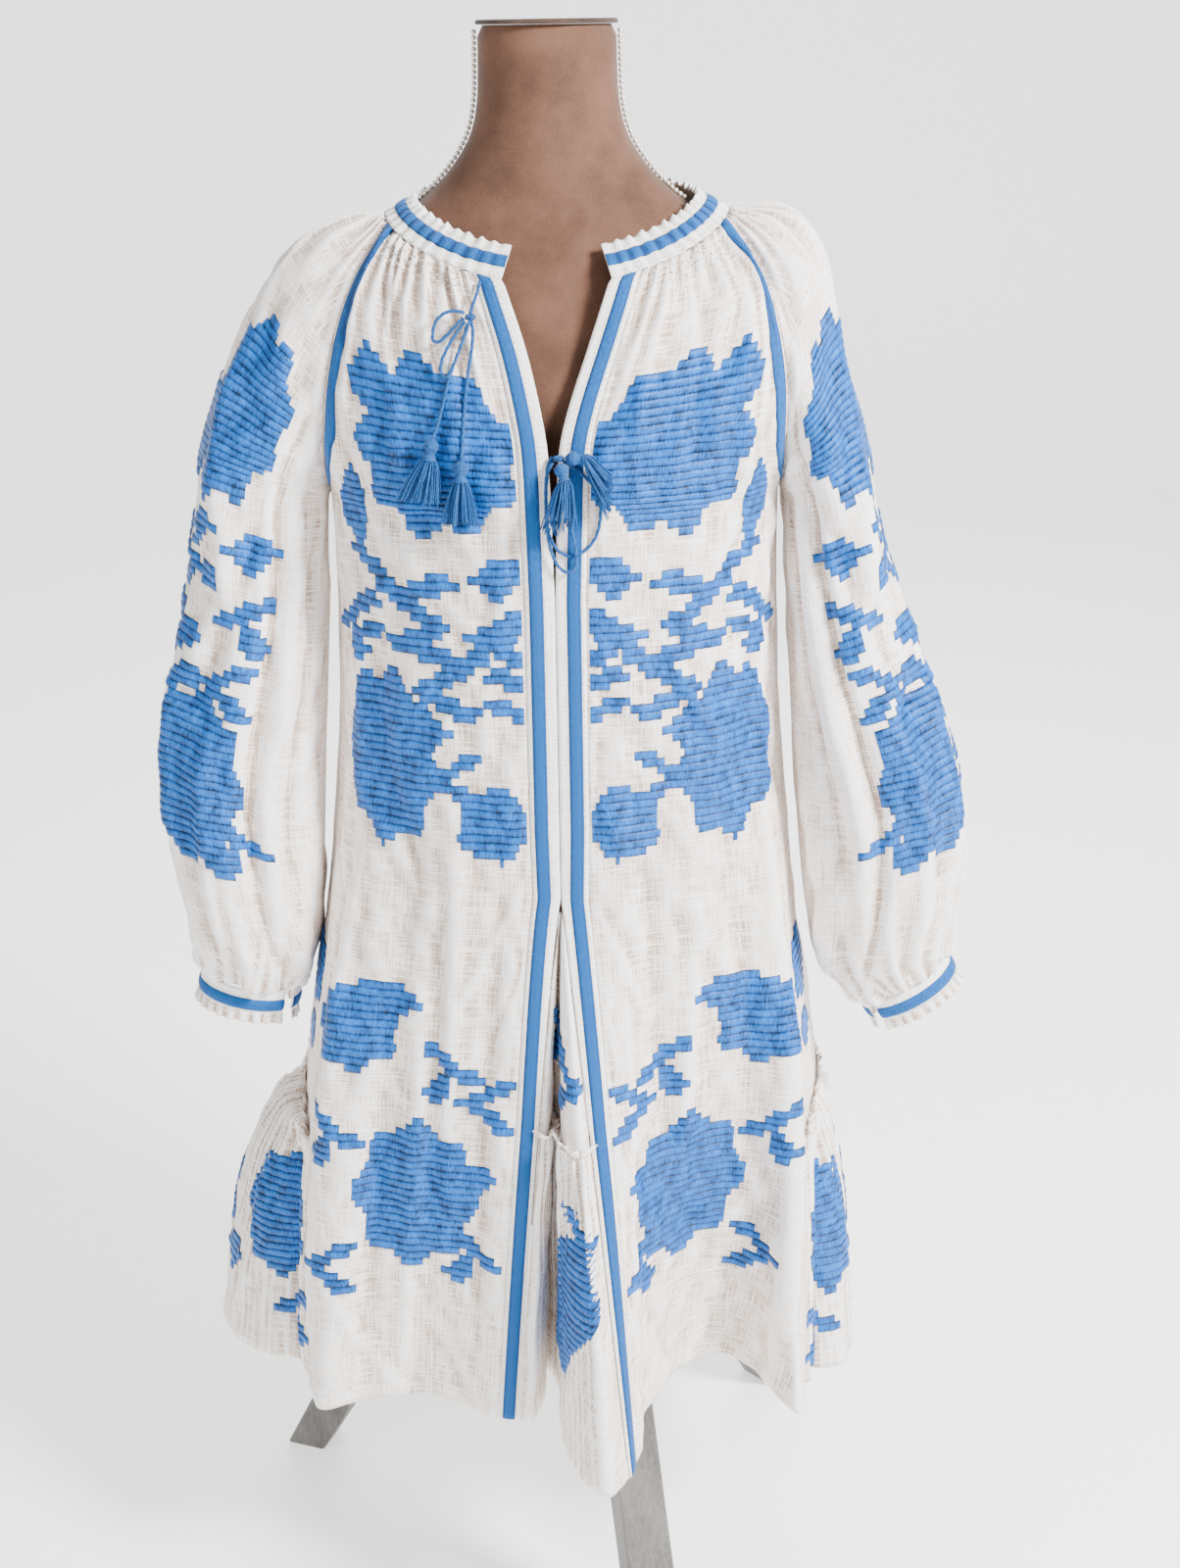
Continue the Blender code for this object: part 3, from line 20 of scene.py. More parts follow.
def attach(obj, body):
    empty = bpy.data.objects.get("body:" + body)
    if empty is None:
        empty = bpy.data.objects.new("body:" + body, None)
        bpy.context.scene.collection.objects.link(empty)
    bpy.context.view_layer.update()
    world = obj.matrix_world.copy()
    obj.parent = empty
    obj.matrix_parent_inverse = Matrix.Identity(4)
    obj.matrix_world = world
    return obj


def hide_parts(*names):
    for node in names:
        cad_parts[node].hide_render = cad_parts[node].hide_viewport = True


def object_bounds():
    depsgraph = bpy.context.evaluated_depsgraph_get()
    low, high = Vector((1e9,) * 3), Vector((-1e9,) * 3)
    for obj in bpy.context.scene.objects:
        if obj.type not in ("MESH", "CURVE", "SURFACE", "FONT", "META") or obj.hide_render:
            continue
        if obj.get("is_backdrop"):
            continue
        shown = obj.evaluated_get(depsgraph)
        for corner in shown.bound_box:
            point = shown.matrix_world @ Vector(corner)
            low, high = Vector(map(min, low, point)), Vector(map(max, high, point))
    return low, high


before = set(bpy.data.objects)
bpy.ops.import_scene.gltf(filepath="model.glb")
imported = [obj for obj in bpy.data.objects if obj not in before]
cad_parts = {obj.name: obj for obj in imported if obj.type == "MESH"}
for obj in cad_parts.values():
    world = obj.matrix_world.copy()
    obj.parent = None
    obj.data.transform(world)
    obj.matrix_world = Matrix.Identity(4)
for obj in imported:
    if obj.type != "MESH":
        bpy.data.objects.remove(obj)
CAD_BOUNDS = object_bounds()

LOG = logging.getLogger("dress")
Array = np.ndarray
Table = tuple[tuple[float, ...], ...]
Tree = bpy.types.NodeTree
Node = bpy.types.Node
Pattern = tuple[bpy.types.NodeSocket, Node]

# The tables below are measured from the form's own axis; the frame's origin lies under the middle of its box
SHIFT = np.array((-0.0061, 0.0400, 0.0))
UP = np.array((0.0, 0.0, 1.0))
BACKWARD = np.array((0.0, 1.0, 0.0))
FULL_TURN = 2 * math.pi
UV_NAME = "cut"
MM = 0.001


class Side(Enum):
    """The two sides of the dress."""

    LEFT = "left"
    RIGHT = "right"

    @property
    def sign(self) -> float:
        """The side's direction along X."""
        return -1.0 if self is Side.LEFT else 1.0

    @property
    def number(self) -> int:
        """0 on the left and 1 on the right, added to the seeds."""
        return int(self is Side.RIGHT)


class Hold(Enum):
    """How a sheet of cloth is held."""

    DRAPED = "draped"
    GATHERED = "gathered"
    LAID = "laid"


def table(text: str, *scales: float) -> Table:
    """Rows of measures in metres, from millimetres with a slash between rows; scales say what else a column is."""
    return tuple(tuple(float(word) * scale for word, scale in zip(row.split(), scales or repeat(MM)))
                 for row in text.split("/"))


# Smooth lines


def unit(vectors: Array) -> Array:
    """Vectors made one long."""
    return vectors / np.maximum(np.linalg.norm(vectors, axis=-1, keepdims=True), 1e-9)


def slopes(keys: Array, values: Array) -> Array:
    """Finite-difference slopes at each key."""
    low, high = np.maximum(np.arange(len(keys)) - 1, 0), np.minimum(np.arange(len(keys)) + 1, len(keys) - 1)
    return (values[high] - values[low]) / (keys[high] - keys[low])[:, None]


def hermite(start: Array, end: Array, leave: Array, arrive: Array, t: float | Array) -> Array:
    """A cubic from start to end with the given slopes."""
    return (start * (2 * t**3 - 3 * t**2 + 1) + leave * (t**3 - 2 * t**2 + t)
            + end * (3 * t**2 - 2 * t**3) + arrive * (t**3 - t**2))


def read(rows: Table, key: float) -> Array:
    """A row of a table, smoothly between the rows that it has.

    Args:
        rows: the table, with its keys in the first column.
        key: the key to read at.

    Returns:
        The whole row, its key too.
    """
    rows = np.array(sorted(rows), dtype=float)
    keys = rows[:, 0]
    key = min(max(key, keys[0]), keys[-1])
    place = min(int(np.searchsorted(keys, key, side="right")) - 1, len(keys) - 2)
    step = keys[place + 1] - keys[place]
    tangent = slopes(keys, rows) * step
    return hermite(rows[place], rows[place + 1], tangent[place], tangent[place + 1], (key - keys[place]) / step)


def curve_through(points: Sequence[Array], steps: int = 8) -> Array:
    """A dense smooth line through points, with even-tempered corners (centripetal).

    Args:
        points: the points.
        steps: how many steps it takes between two of them.

    Returns:
        The points of the line.
    """
    points = np.array(points, dtype=float)
    spans = np.sqrt(np.maximum(np.linalg.norm(np.diff(points, axis=0), axis=1), 1e-6))
    tangent = slopes(np.concatenate(([0.0], np.cumsum(spans))), points)
    t = (np.arange(steps) / steps)[None, :, None]
    span = spans[:, None, None]
    line = hermite(points[:-1, None], points[1:, None], tangent[:-1, None] * span, tangent[1:, None] * span, t)
    return np.concatenate((line.reshape(-1, points.shape[1]), points[-1:]))


def distances(points: Array) -> Array:
    """How far along a line each point lies, or down a grid each row."""
    steps = np.linalg.norm(np.diff(points, axis=0), axis=-1)
    return np.concatenate(([0.0], np.cumsum(steps if steps.ndim == 1 else steps.mean(axis=1))))


class Line:
    """A dense line that is read by the distance along it."""

    def __init__(self, points: Array) -> None:
        """Measures the line through the points."""
        self.points, self.marks = points, distances(points)
        self.length = float(self.marks[-1])

    def at(self, distance: float | Array) -> Array:
        """The points at distances from the start."""
        return np.stack([np.interp(distance, self.marks, axis) for axis in self.points.T], axis=-1)


def smoothly(value: float | Array) -> float | Array:
    """0 to 1 with level ends."""
    value = np.clip(value, 0.0, 1.0)
    return value * value * (3.0 - 2.0 * value)


# The surfaces of the dress

FOLD_UNITS = (1, 1, MM, MM, MM, MM, 1)
HEAD_UNITS = (1, MM, MM, MM, MM, 1)
TUBE_UNITS = (1, MM, MM, MM, MM, MM, MM)


@dataclass
class DressBlock:
    """The maker's block: every surface of the dress, from its measures."""

    seam_gap: float = 0.0002
    laid_gap: float = 0.0003
    wall: float = 0.0015
    underarm: float = 1.060
    low_hip: float = 0.600
    godet_top: float = 0.733
    godet_seam: float = 0.530
    tier_seam: float = 0.490
    hem: float = 0.250
    squareness: float = 0.90
    # Collar: half width, front depth, back depth, height, front drop and back rise at its seam and its edge
    neck_centre: tuple = (0.0055, -0.0165, 0.0)
    neck_seam: tuple = (0.139, 0.0915, 0.1010, 1.285, 0.047, 0.003)
    neck_edge: tuple = (0.113, 0.0665, 0.0840, 1.299, 0.037, 0.012)
    collar_open: float = math.radians(18)
    raglan_front: float = math.radians(78)
    raglan_back: float = math.radians(122)
    yoke_fall: float = 1.5
    collar_pull: float = 4.0
    # Front bands: the ribbon's edges and the seam, from the placket edge, above and beside the godet
    band: tuple = (0.0, 0.009, 0.0205, 0.0245)
    low_band: tuple = (0.0, 0.0035, 0.015, 0.0190)
    narrow_from: float = 0.793
    narrow_over: float = 0.250
    # height, left edge, right edge
    placket: Table = table("1245 37.5 48.5/ 1190 19.5 29/ 1143 8.5 12.5/ 1110 3.5 5/ 1050 1.5 2.2/ 994 0.3 0.3")
    # height, front depth on the chest
    chest: Table = table("1245 -103.5/ 1190 -116/ 1143 -130/ 1110 -136/ 1060 -140")
    # height, half width left, half width right, front depth, back depth
    body: Table = table("""
    1060 190 190 140 112/ 1000 189 189 139 112/ 930 191 191 137 112/ 860 195 195 137 115/ 790 202 201 140 119/
    733 208 206 145 124/ 660 219 214 153 131/ 590 233 226 161 139/ 490 246 236 170 148/ 250 262 246 180 160""")
    # Folds: angle at the underarm and at the low hip, place at the hem, and how the cloth moves to it:
    # the height where it starts and the growth
    left_front: Table = table("""
    0 0 -46 -203 250 733 0.8/ -7 -7 -74 -195 250 733 0.8/ -28 -21 -124 -168 253 800 1.2/
    -50 -36 -180 -172 253 800 1.2/ -72 -51 -226 -184 250 800 1.2/ -88 -62 -240 -150 250 800 1.2""", *FOLD_UNITS)
    left_side: Table = table("""
    -88 -62 -240 -150 250 800 1.2/ -88.6 -69 -254 -108 251 490 0.6/ -89.3 -78 -296 -96 250 490 0.45/
    -90 -88 -337 -34 250 490 0.4/ -90.8 -98 -318 50 250 490 0.45/ -92 -108 -262 104 250 600 0.9""", *FOLD_UNITS)
    back: Table = table("""
    -92 -108 -262 104 250 600 0.9/ -108 -118 -222 143 250 800 1/ -124 -131 -168 146 250 800 1/
    -142 -146 -114 176 250 800 1/ -161 -163 -56 162 250 800 1/ -180 -180 0 184 250 800 1/
    -199 -197 56 164 250 800 1/ -218 -214 110 178 250 800 1/ -236 -229 158 146 250 800 1/
    -252 -242 204 143 250 800 1/ -268 -252 240 96 250 600 0.9""", *FOLD_UNITS)
    right_side: Table = table("""
    88 62 214 -172 250 800 1.2/ 88.6 69 224 -134 250 490 0.7/ 89.3 78 257 -124 250 490 0.6/
    90 88 268 -60 250 490 0.5/ 90.8 98 268 30 250 490 0.6/ 92 108 240 96 250 600 0.9""", *FOLD_UNITS)
    right_front: Table = table("""
    0 0 53 -270 238 733 0.95/ 7 7 62 -240 244 733 0.95/ 14 12 68 -202 254 760 1.1/
    28 21 98 -152 264 800 1.2/ 42 32 142 -132 268 800 1.2/ 58 43 176 -156 258 800 1.2/
    74 54 203 -200 250 800 1.2/ 88 62 214 -172 250 800 1.2""", *FOLD_UNITS)
    godet: Table = table("""
    0 0 -33 -207 250 733 0.82/ 0 0 -24 -168 250 733 0.84/ 0 0 -28 -122 252 733 0.86/
    0 0 -11 -152 250 733 0.88/ 0 0 -6 -222 245 733 0.9/ 0 0 8 -266 240 733 0.92/
    0 0 34 -290 235 733 0.94""", *FOLD_UNITS)
    # Sleeve heads: share of the raglan seam, the seam's reach, the top of the sleeve, its half depth and
    # how far round the cloth goes, in degrees
    left_head: Table = table("""
    0 130 133.5 1287 39 60/ 0.18 156 183 1279 61 72/ 0.36 172 216 1258 71 84/
    0.56 182 243 1220 75 98/ 0.78 188 270 1165 75.5 122/ 0.92 190 288 1123 76 150/
    1 190 298 1098 73 176""", *HEAD_UNITS)
    right_head: Table = table("""
    0 141 144.5 1288 39 60/ 0.18 169 185 1288 61 72/ 0.36 182 215 1270 71 84/
    0.56 189 231 1230 77 98/ 0.78 190 240 1175 80 122/ 0.92 190 251 1130 82 150/
    1 190 262 1096 80 176""", *HEAD_UNITS)
    head_centre: float = -0.002
    sleeve_end: float = 10.0
    # Sleeves below the underarm: row, outer x and z, inner x and z, half depth, depth of the centre
    left_tube: Table = table("""
    0 300 1088 194.5 1050 72.5 -4/ 1 308 1038 196 1005 71 -9/ 2 316.5 986 197.5 951 69 -14/
    3 330 926 201.5 891 67 -20/ 4 344.5 867 206 832 66 -26/ 5 351 809 209.5 774 66 -31/
    6 346 751 213 721 66 -36/ 7 339.5 703 216.5 677 64 -40/ 8 334 669 224 643 57 -43/
    9 329 644 233 620 45 -45/ 10 327 633 238.5 613 36 -45""", *TUBE_UNITS)
    right_tube: Table = table("""
    0 265.5 1086 194.5 1050 80 -4/ 1 274 1038 196.5 1005 82 -9/ 2 287.5 986 199 951 82 -14/
    3 306.5 926 201.5 891 80 -20/ 4 329 867 205.5 832 77 -26/ 5 349 809 209 774 74 -31/
    6 355.5 751 213.5 721 71 -36/ 7 354.5 703 220 672 67 -40/ 8 351.5 669 231.5 629 59 -43/
    9 347 647 253.5 602 46 -45/ 10 345 637 268 591 36 -45""", *TUBE_UNITS)

    def of(self, side: Side, name: str) -> Table:
        """One side's own table: its front, side, head or tube."""
        return getattr(self, f"{side.value}_{name}")

    def neck_ring(self, angle: float | Array, rise: float) -> Array:
        """Points of the collar.

        Args:
            angle: angles from the front, in radians.
            rise: 0 at the neck seam and 1 at the frilled edge.

        Returns:
            One point for each angle.
        """
        angle = np.asarray(angle, dtype=float)
        low, high = np.array(self.neck_seam), np.array(self.neck_edge)
        half, front, back, height, drop, lift = low + (high - low) * rise
        forward = np.cos(angle)
        depth = np.where(forward > 0, front, back)
        z = height - drop * np.maximum(forward, 0.0)**1.5 + lift * np.maximum(-forward, 0.0)**1.5
        return np.array(self.neck_centre) + np.stack((half * np.sin(angle), -depth * forward, z), axis=-1)

    def body_point(self, angle: float, height: float) -> Array:
        """A point of the plain body ring.

        Args:
            angle: degrees from the front, towards +X.
            height: the ring's height.

        Returns:
            The point.
        """
        _, half_left, half_right, front, back = read(self.body, height)
        across, forward = math.sin(math.radians(angle)), math.cos(math.radians(angle))
        half = half_right if across > 0 else half_left
        depth = front if forward > 0 else back
        return np.array((half * math.copysign(abs(across)**self.squareness, across),
                         -depth * math.copysign(abs(forward)**self.squareness, forward), height))

    def fold_point(self, fold: Sequence[float], height: float) -> Array:
        """The place of a fold at a level.

        Args:
            fold: the fold's row.
            height: the level; near the hem the point itself may lie a little off it.

        Returns:
            The point.
        """
        high, low, hem_x, hem_y, hem_z, start, growth = fold
        down = min((self.underarm - height) / (self.underarm - self.low_hip), 1.0)
        plain = self.body_point(high + (low - high) * down, height)
        share = min(max((start - height) / (start - self.hem), 0.0), 1.0)**growth
        point = plain + (np.array((hem_x, hem_y, height)) - plain) * share
        if height < self.tier_seam:
            below = (self.tier_seam - height) / (self.tier_seam - self.hem)
            point[2] = self.tier_seam - below * (self.tier_seam - hem_z)
        return point

    def ring_line(self, folds: Table, height: float) -> Line:
        """The smooth line through the places of some folds at a level."""
        return Line(curve_through([self.fold_point(fold, height) for fold in folds]))

    def side_line(self, side: Side, height: float) -> Line:
        """The line across a side panel, between its two seams."""
        folds = self.of(side, "side")
        return self.ring_line((folds[0], folds[len(folds) // 2], folds[-1]), height)

    def underarm_line(self, side: Side) -> Line:
        """The short top row of a side panel, between the two ends of the sleeve."""
        ends = self.sleeve_head_line(side, 1.0).points[[0, -1]]
        return Line(ends + np.array((-side.sign, 0.0, -1.0)) * 2 * self.laid_gap)

    def placket_tuck(self, side: Side, level: float) -> Array:
        """The way from the placket edge to the back of its band, where the godet is sewn on."""
        x, y, _ = np.diff(self.ring_line(self.of(side, "front"), level).at(np.array(self.band[:2])), axis=0)[0]
        return unit(np.array((-y, x, 0.0))) * side.sign * (self.wall + self.laid_gap)

    def godet_line(self, height: float) -> Line:
        """The line across the centre godet at a level, from the left placket edge to the right one."""
        ends = [self.fold_point(self.of(side, "front")[0], height) + self.placket_tuck(side, height) for side in Side]
        return Line(curve_through([ends[0]] + [self.fold_point(fold, height) for fold in self.godet] + [ends[1]]))

    def seam_height(self, share: float) -> float:
        """The height of the raglan seam at a share of the way down."""
        top = self.neck_ring(self.raglan_front, 0.0)[2]
        return top + (self.underarm - top) * share

    def sleeve_points(self, side: Side, share: float, turns: Array) -> Array:
        """Points of the sleeve head.

        Args:
            side: the sleeve.
            share: the share of the way down the raglan seam.
            turns: places round the sleeve, from -1 at the front seam to 1 at the back seam.

        Returns:
            One point for each turn.
        """
        _, seam_x, top_x, top_z, half_depth, opening = read(self.of(side, "head"), share)
        opening = math.radians(opening)
        seam = np.array((side.sign * seam_x, self.head_centre, self.seam_height(share)))
        top = np.array((side.sign * top_x, self.head_centre, top_z))
        across = (top - seam) / (1.0 - math.cos(opening))
        angles = (opening * turns)[:, None]
        return top - across + across * np.cos(angles) + BACKWARD * half_depth * np.sin(angles)

    def sleeve_head_line(self, side: Side, share: float) -> Line:
        """The line over the sleeve head, from the front raglan seam to the back one.

        Args:
            side: the sleeve.
            share: the share of the way down the raglan seam.

        Returns:
            The line.
        """
        turns = np.linspace(-1.0, 1.0, 33)
        angles = self.raglan_front + (self.raglan_back - self.raglan_front) * (turns + 1) / 2
        shift = self.neck_ring(side.sign * angles, 0.0) - self.sleeve_points(side, 0.0, turns)
        return Line(self.sleeve_points(side, share, turns) + shift * (1.0 - share)**self.collar_pull)

    def sleeve_ring(self, side: Side, row: float, angles: Array, flare: float | Array = 0.0) -> Array:
        """Points of the sleeve below the underarm.

        Args:
            side: the sleeve.
            row: the row of its table.
            angles: angles from the outer line, in radians.
            flare: how far out of the ring each point stands.

        Returns:
            One point for each angle.
        """
        _, outer_x, outer_z, inner_x, inner_z, half_depth, centre = read(self.of(side, "tube"), row)
        outer = np.array((side.sign * outer_x, centre, outer_z))
        inner = np.array((side.sign * inner_x, centre, inner_z))
        across = (outer - inner) / 2
        size = 1.0 + flare / np.linalg.norm(across)
        return ((outer + inner) / 2 + across * (size * np.cos(angles))[:, None]
                + BACKWARD * ((half_depth + flare) * np.sin(angles))[:, None])

    def placket_offset(self, side: Side, height: float) -> float:
        """How far the front edge stands from the centre."""
        return float(read(self.placket, height)[1 + side.number])

    def yoke_points(self, top: Array, bottom: Array, share: float) -> Array:
        """Points between the collar and the underarm, where the cloth falls steeper further down."""
        out = 1.0 - (1.0 - share)**self.yoke_fall
        return top + (bottom - top) * np.array((out, out, share))

    def yoke_line(self, side: Side, share: float) -> Line:
        """A row of one front's yoke, from the placket edge to the raglan seam.

        Args:
            side: the front.
            share: the share of the way from the collar to the underarm.

        Returns:
            The line.
        """
        seam = self.sleeve_head_line(side, share).points[0]
        low = self.ring_line(self.of(side, "front"), self.underarm)
        start = self.placket_offset(side, self.underarm)
        turns = np.linspace(0.0, 1.0, 33)
        top = self.neck_ring(side.sign * (self.collar_open + (self.raglan_front - self.collar_open) * turns), 0.0)
        points = self.yoke_points(top, low.at(start + (reach(low, seam[1]) - start) * turns), share)
        edge = top[0]
        if share > 0.0:
            height = edge[2] + (self.underarm - edge[2]) * share
            edge = np.array((side.sign * self.placket_offset(side, height), read(self.chest, height)[1], height))
        return Line(pulled_to(points, edge, seam))

    def back_yoke_line(self, share: float) -> Line:
        """A row of the back yoke, from the left raglan seam to the right one.

        Args:
            share: the share of the way from the collar to the underarm.

        Returns:
            The line.
        """
        left, right = (self.sleeve_head_line(side, share).points[-1] for side in Side)
        low = self.ring_line(self.back, self.underarm)
        half = Line(low.points[-(len(low.points) // 2 + 1):])
        trim = low.length / 2 - reach(half, (left[1] + right[1]) / 2)
        turns = np.linspace(0.0, 1.0, 65)
        top = self.neck_ring(-self.raglan_back - (FULL_TURN - 2 * self.raglan_back) * turns, 0.0)
        points = self.yoke_points(top, low.at(trim + (low.length - 2 * trim) * turns), share)
        return Line(pulled_to(points, left, right))

    def band_places(self, level: float) -> Array:
        """The columns of a front band at a level: the white edge is narrower beside the godet."""
        share = min(max((self.narrow_from - level) / self.narrow_over, 0.0), 1.0)
        return np.array(self.band) + (np.array(self.low_band) - np.array(self.band)) * share


def reach(line: Line, depth: float) -> float:
    """The distance along a line that runs from the middle to the side, where it reaches a depth y."""
    crossed = np.nonzero((line.points[:, 1] - depth) * (line.points[0, 1] - depth) <= 0.0)[0]
    return float(line.marks[crossed[0]]) if len(crossed) else line.length


def pulled_to(points: Array, first: Array, last: Array) -> Array:
    """Points moved so that the line starts and ends at the given places, less and less in between."""
    share = np.linspace(0.0, 1.0, len(points))[:, None]
    return points + (first - points[0]) * (1 - share) + (last - points[-1]) * share


BLOCK = DressBlock()


# Grids of cloth

# How far a ribbon's columns stand out of the cloth, from edge to edge
CROWN = np.array((0.0004, 0.0010, 0.0013, 0.0014, 0.0014, 0.0013, 0.0010, 0.0004))


@dataclass
class Cloth:
    """A grid of cloth points: rows run down the piece, evenly spaced columns run across it."""

    points: Array
    first: Array
    last: Array
    down: Array
    facing: float

    @classmethod
    def woven(cls, lines: Sequence[tuple[Line, float, float]], columns: int, facing: float) -> "Cloth":
        """A grid from lines across the piece.

        Args:
            lines: each row's line, and the distances along it where the piece starts and ends.
            columns: how many columns each row has.
            facing: 1 where columns run to the left seen from outside, -1 where they run to the right.

        Returns:
            The grid, its distances across counted as the lines count them.
        """
        points = np.array([line.at(np.linspace(start, end, columns)) for line, start, end in lines])
        first, last = np.array([row[1:] for row in lines], dtype=float).T
        return cls(points, first, last, distances(points), facing)

    @classmethod
    def seamed(cls, lines: Sequence[Line], columns: int, facing: float) -> "Cloth":
        """A grid from whole lines, which stops just short of the seams at both ends."""
        gap = BLOCK.seam_gap
        return cls.woven([(line, gap, line.length - gap) for line in lines], columns, facing)

    def counted_from(self, start: Array) -> "Cloth":
        """The same piece, with its distances across counted from a place of each row."""
        return replace(self, first=self.first - start, last=self.last - start)

    @classmethod
    def even(cls, points: Array, width: float, down: Array, facing: float) -> "Cloth":
        """A strip of one width all along, its distances across counted from its start."""
        return cls(points, np.zeros(len(points)), np.full(len(points), width), down, facing)

    @property
    def centred(self) -> "Cloth":
        """The same piece, with its distances across counted from its middle."""
        return self.counted_from((self.first + self.last) / 2)

    def upper(self, rows: int) -> "Cloth":
        """The first rows of the piece."""
        return Cloth(self.points[:rows], self.first[:rows], self.last[:rows], self.down[:rows], self.facing)

    @property
    def share(self) -> Array:
        """Each column's share of the way across."""
        return np.linspace(0.0, 1.0, self.points.shape[1])

    @property
    def across(self) -> Array:
        """Each point's distance across the piece."""
        return self.first[:, None] + (self.last - self.first)[:, None] * self.share

    @property
    def normals(self) -> Array:
        """The direction out of the cloth at each point."""
        return unit(np.cross(np.gradient(self.points, axis=1), np.gradient(self.points, axis=0))) * self.facing

    def raised(self, heights: Array | float) -> "Cloth":
        """The same piece with its points moved out by heights."""
        heights = np.broadcast_to(heights, self.points.shape[:2])
        return replace(self, points=self.points + self.normals * heights[:, :, None])

    def tape_down(self, low: float | Array, high: float | Array) -> "Cloth":
        """A crowned tape down the piece.

        Args:
            low: the distance across where it starts, given once or for each row.
            high: the distance across where it ends.

        Returns:
            The tape's grid.
        """
        low, high = (np.broadcast_to(edge, len(self.down))[:, None] for edge in (low, high))
        x = low + (high - low) * np.linspace(0.0, 1.0, len(CROWN))
        points, _ = self.at(x, self.down[:, None] * np.ones_like(x))
        return Cloth(points, x[:, 0], x[:, -1], self.down, self.facing).raised(CROWN)

    def tape_across(self, low: float, high: float) -> "Cloth":
        """A crowned tape across the piece, between two distances down."""
        x, y = np.meshgrid(self.across[0], np.linspace(low, high, len(CROWN)))
        return Cloth(self.at(x, y)[0], x[:, 0], x[:, -1], y[:, 0] - low, self.facing).raised(CROWN[:, None])

    def at(self, x: Array, y: Array) -> tuple[Array, Array]:
        """Places and normals of the cloth.

        Args:
            x: distances across, in metres.
            y: distances down, in metres.

        Returns:
            The places and the directions out of the cloth.
        """
        rows, columns = self.points.shape[:2]
        r = np.interp(y, self.down, np.arange(rows))
        low, high = np.interp(r, np.arange(rows), self.first), np.interp(r, np.arange(rows), self.last)
        c = np.clip((x - low) / (high - low), 0.0, 1.0) * (columns - 1)
        r0, c0 = np.minimum(r.astype(int), rows - 2), np.minimum(c.astype(int), columns - 2)
        u, v = (c - c0)[..., None], (r - r0)[..., None]

        def mix(grid: Array) -> Array:
            """A grid's value between its four nearest points."""
            return ((grid[r0, c0] * (1 - u) + grid[r0, c0 + 1] * u) * (1 - v)
                    + (grid[r0 + 1, c0] * (1 - u) + grid[r0 + 1, c0 + 1] * u) * v)

        return mix(self.points), unit(mix(self.normals))

    @property
    def folded(self) -> Array:
        """How the cloth bends at each point: 1 in a sharp furrow, 0 where flat and -1 on a sharp ridge. The linen and
        ribbon materials turn it into painted shade in the furrows and painted light on the ridges.
        """
        total = np.zeros(self.points.shape[:2])
        for axis, weight in ((0, 0.5), (1, 1.0)):
            ahead_by = 2 if self.points.shape[axis] > 8 else 1
            ahead, behind = (np.roll(self.points, by, axis=axis) - self.points for by in (-ahead_by, ahead_by))
            length = np.linalg.norm(ahead, axis=-1) * np.linalg.norm(behind, axis=-1)
            total += weight * ((ahead + behind) * self.normals).sum(axis=-1) / np.maximum(length, 1e-9)
        total[:, [0, 1, -2, -1]] = 0.0
        total[[0, 1, -2, -1]] = total[[2, 2, -3, -3]]
        return np.tanh(total / 90.0)

    @property
    def area(self) -> float:
        """The area of the cloth, its pleats and creases laid flat."""
        one, two = self.points[1:, 1:] - self.points[:-1, :-1], self.points[1:, :-1] - self.points[:-1, 1:]
        return float(np.linalg.norm(np.cross(one, two), axis=-1).sum() / 2)

    def edges(self, y: Array | float) -> tuple[Array, Array]:
        """The distances across where the piece starts and ends, at distances down."""
        return np.interp(y, self.down, self.first), np.interp(y, self.down, self.last)

    def held(self, low: float, high: float) -> Array:
        """0 at both side seams and 1 between, over shares of the width."""
        return smoothly(self.share / low) * smoothly((1 - self.share) / high)

    def hem_turn(self, width: float, height: float) -> Array:
        """The step where the hem is turned up."""
        return smoothly((self.down[:, None] - (self.down[-1] - width)) / 0.0012) * height


def creased(cloth: Cloth, creases: Table, strength: float = 1.0) -> Array:
    """Soft ridges and furrows over each other.

    Args:
        cloth: the piece.
        creases: for each the place of the cut where it starts and where it ends, its half width and its height.
        strength: what their heights are multiplied by.

    Returns:
        How far they move each point.
    """
    total = np.zeros(cloth.points.shape[:2])
    for x0, y0, x1, y1, width, height in creases:
        x, y, length = cloth.across - x0, cloth.down[:, None] - y0, math.hypot(x1 - x0, y1 - y0)
        way_x, way_y = (x1 - x0) / length, (y1 - y0) / length
        along, beside = (x * way_x + y * way_y) / length, y * way_x - x * way_y
        ends = smoothly((along + 0.25) / 0.45) * smoothly((1.25 - along) / 0.45)
        total += height * np.exp(-(beside / width)**2) * ends
    return total * strength


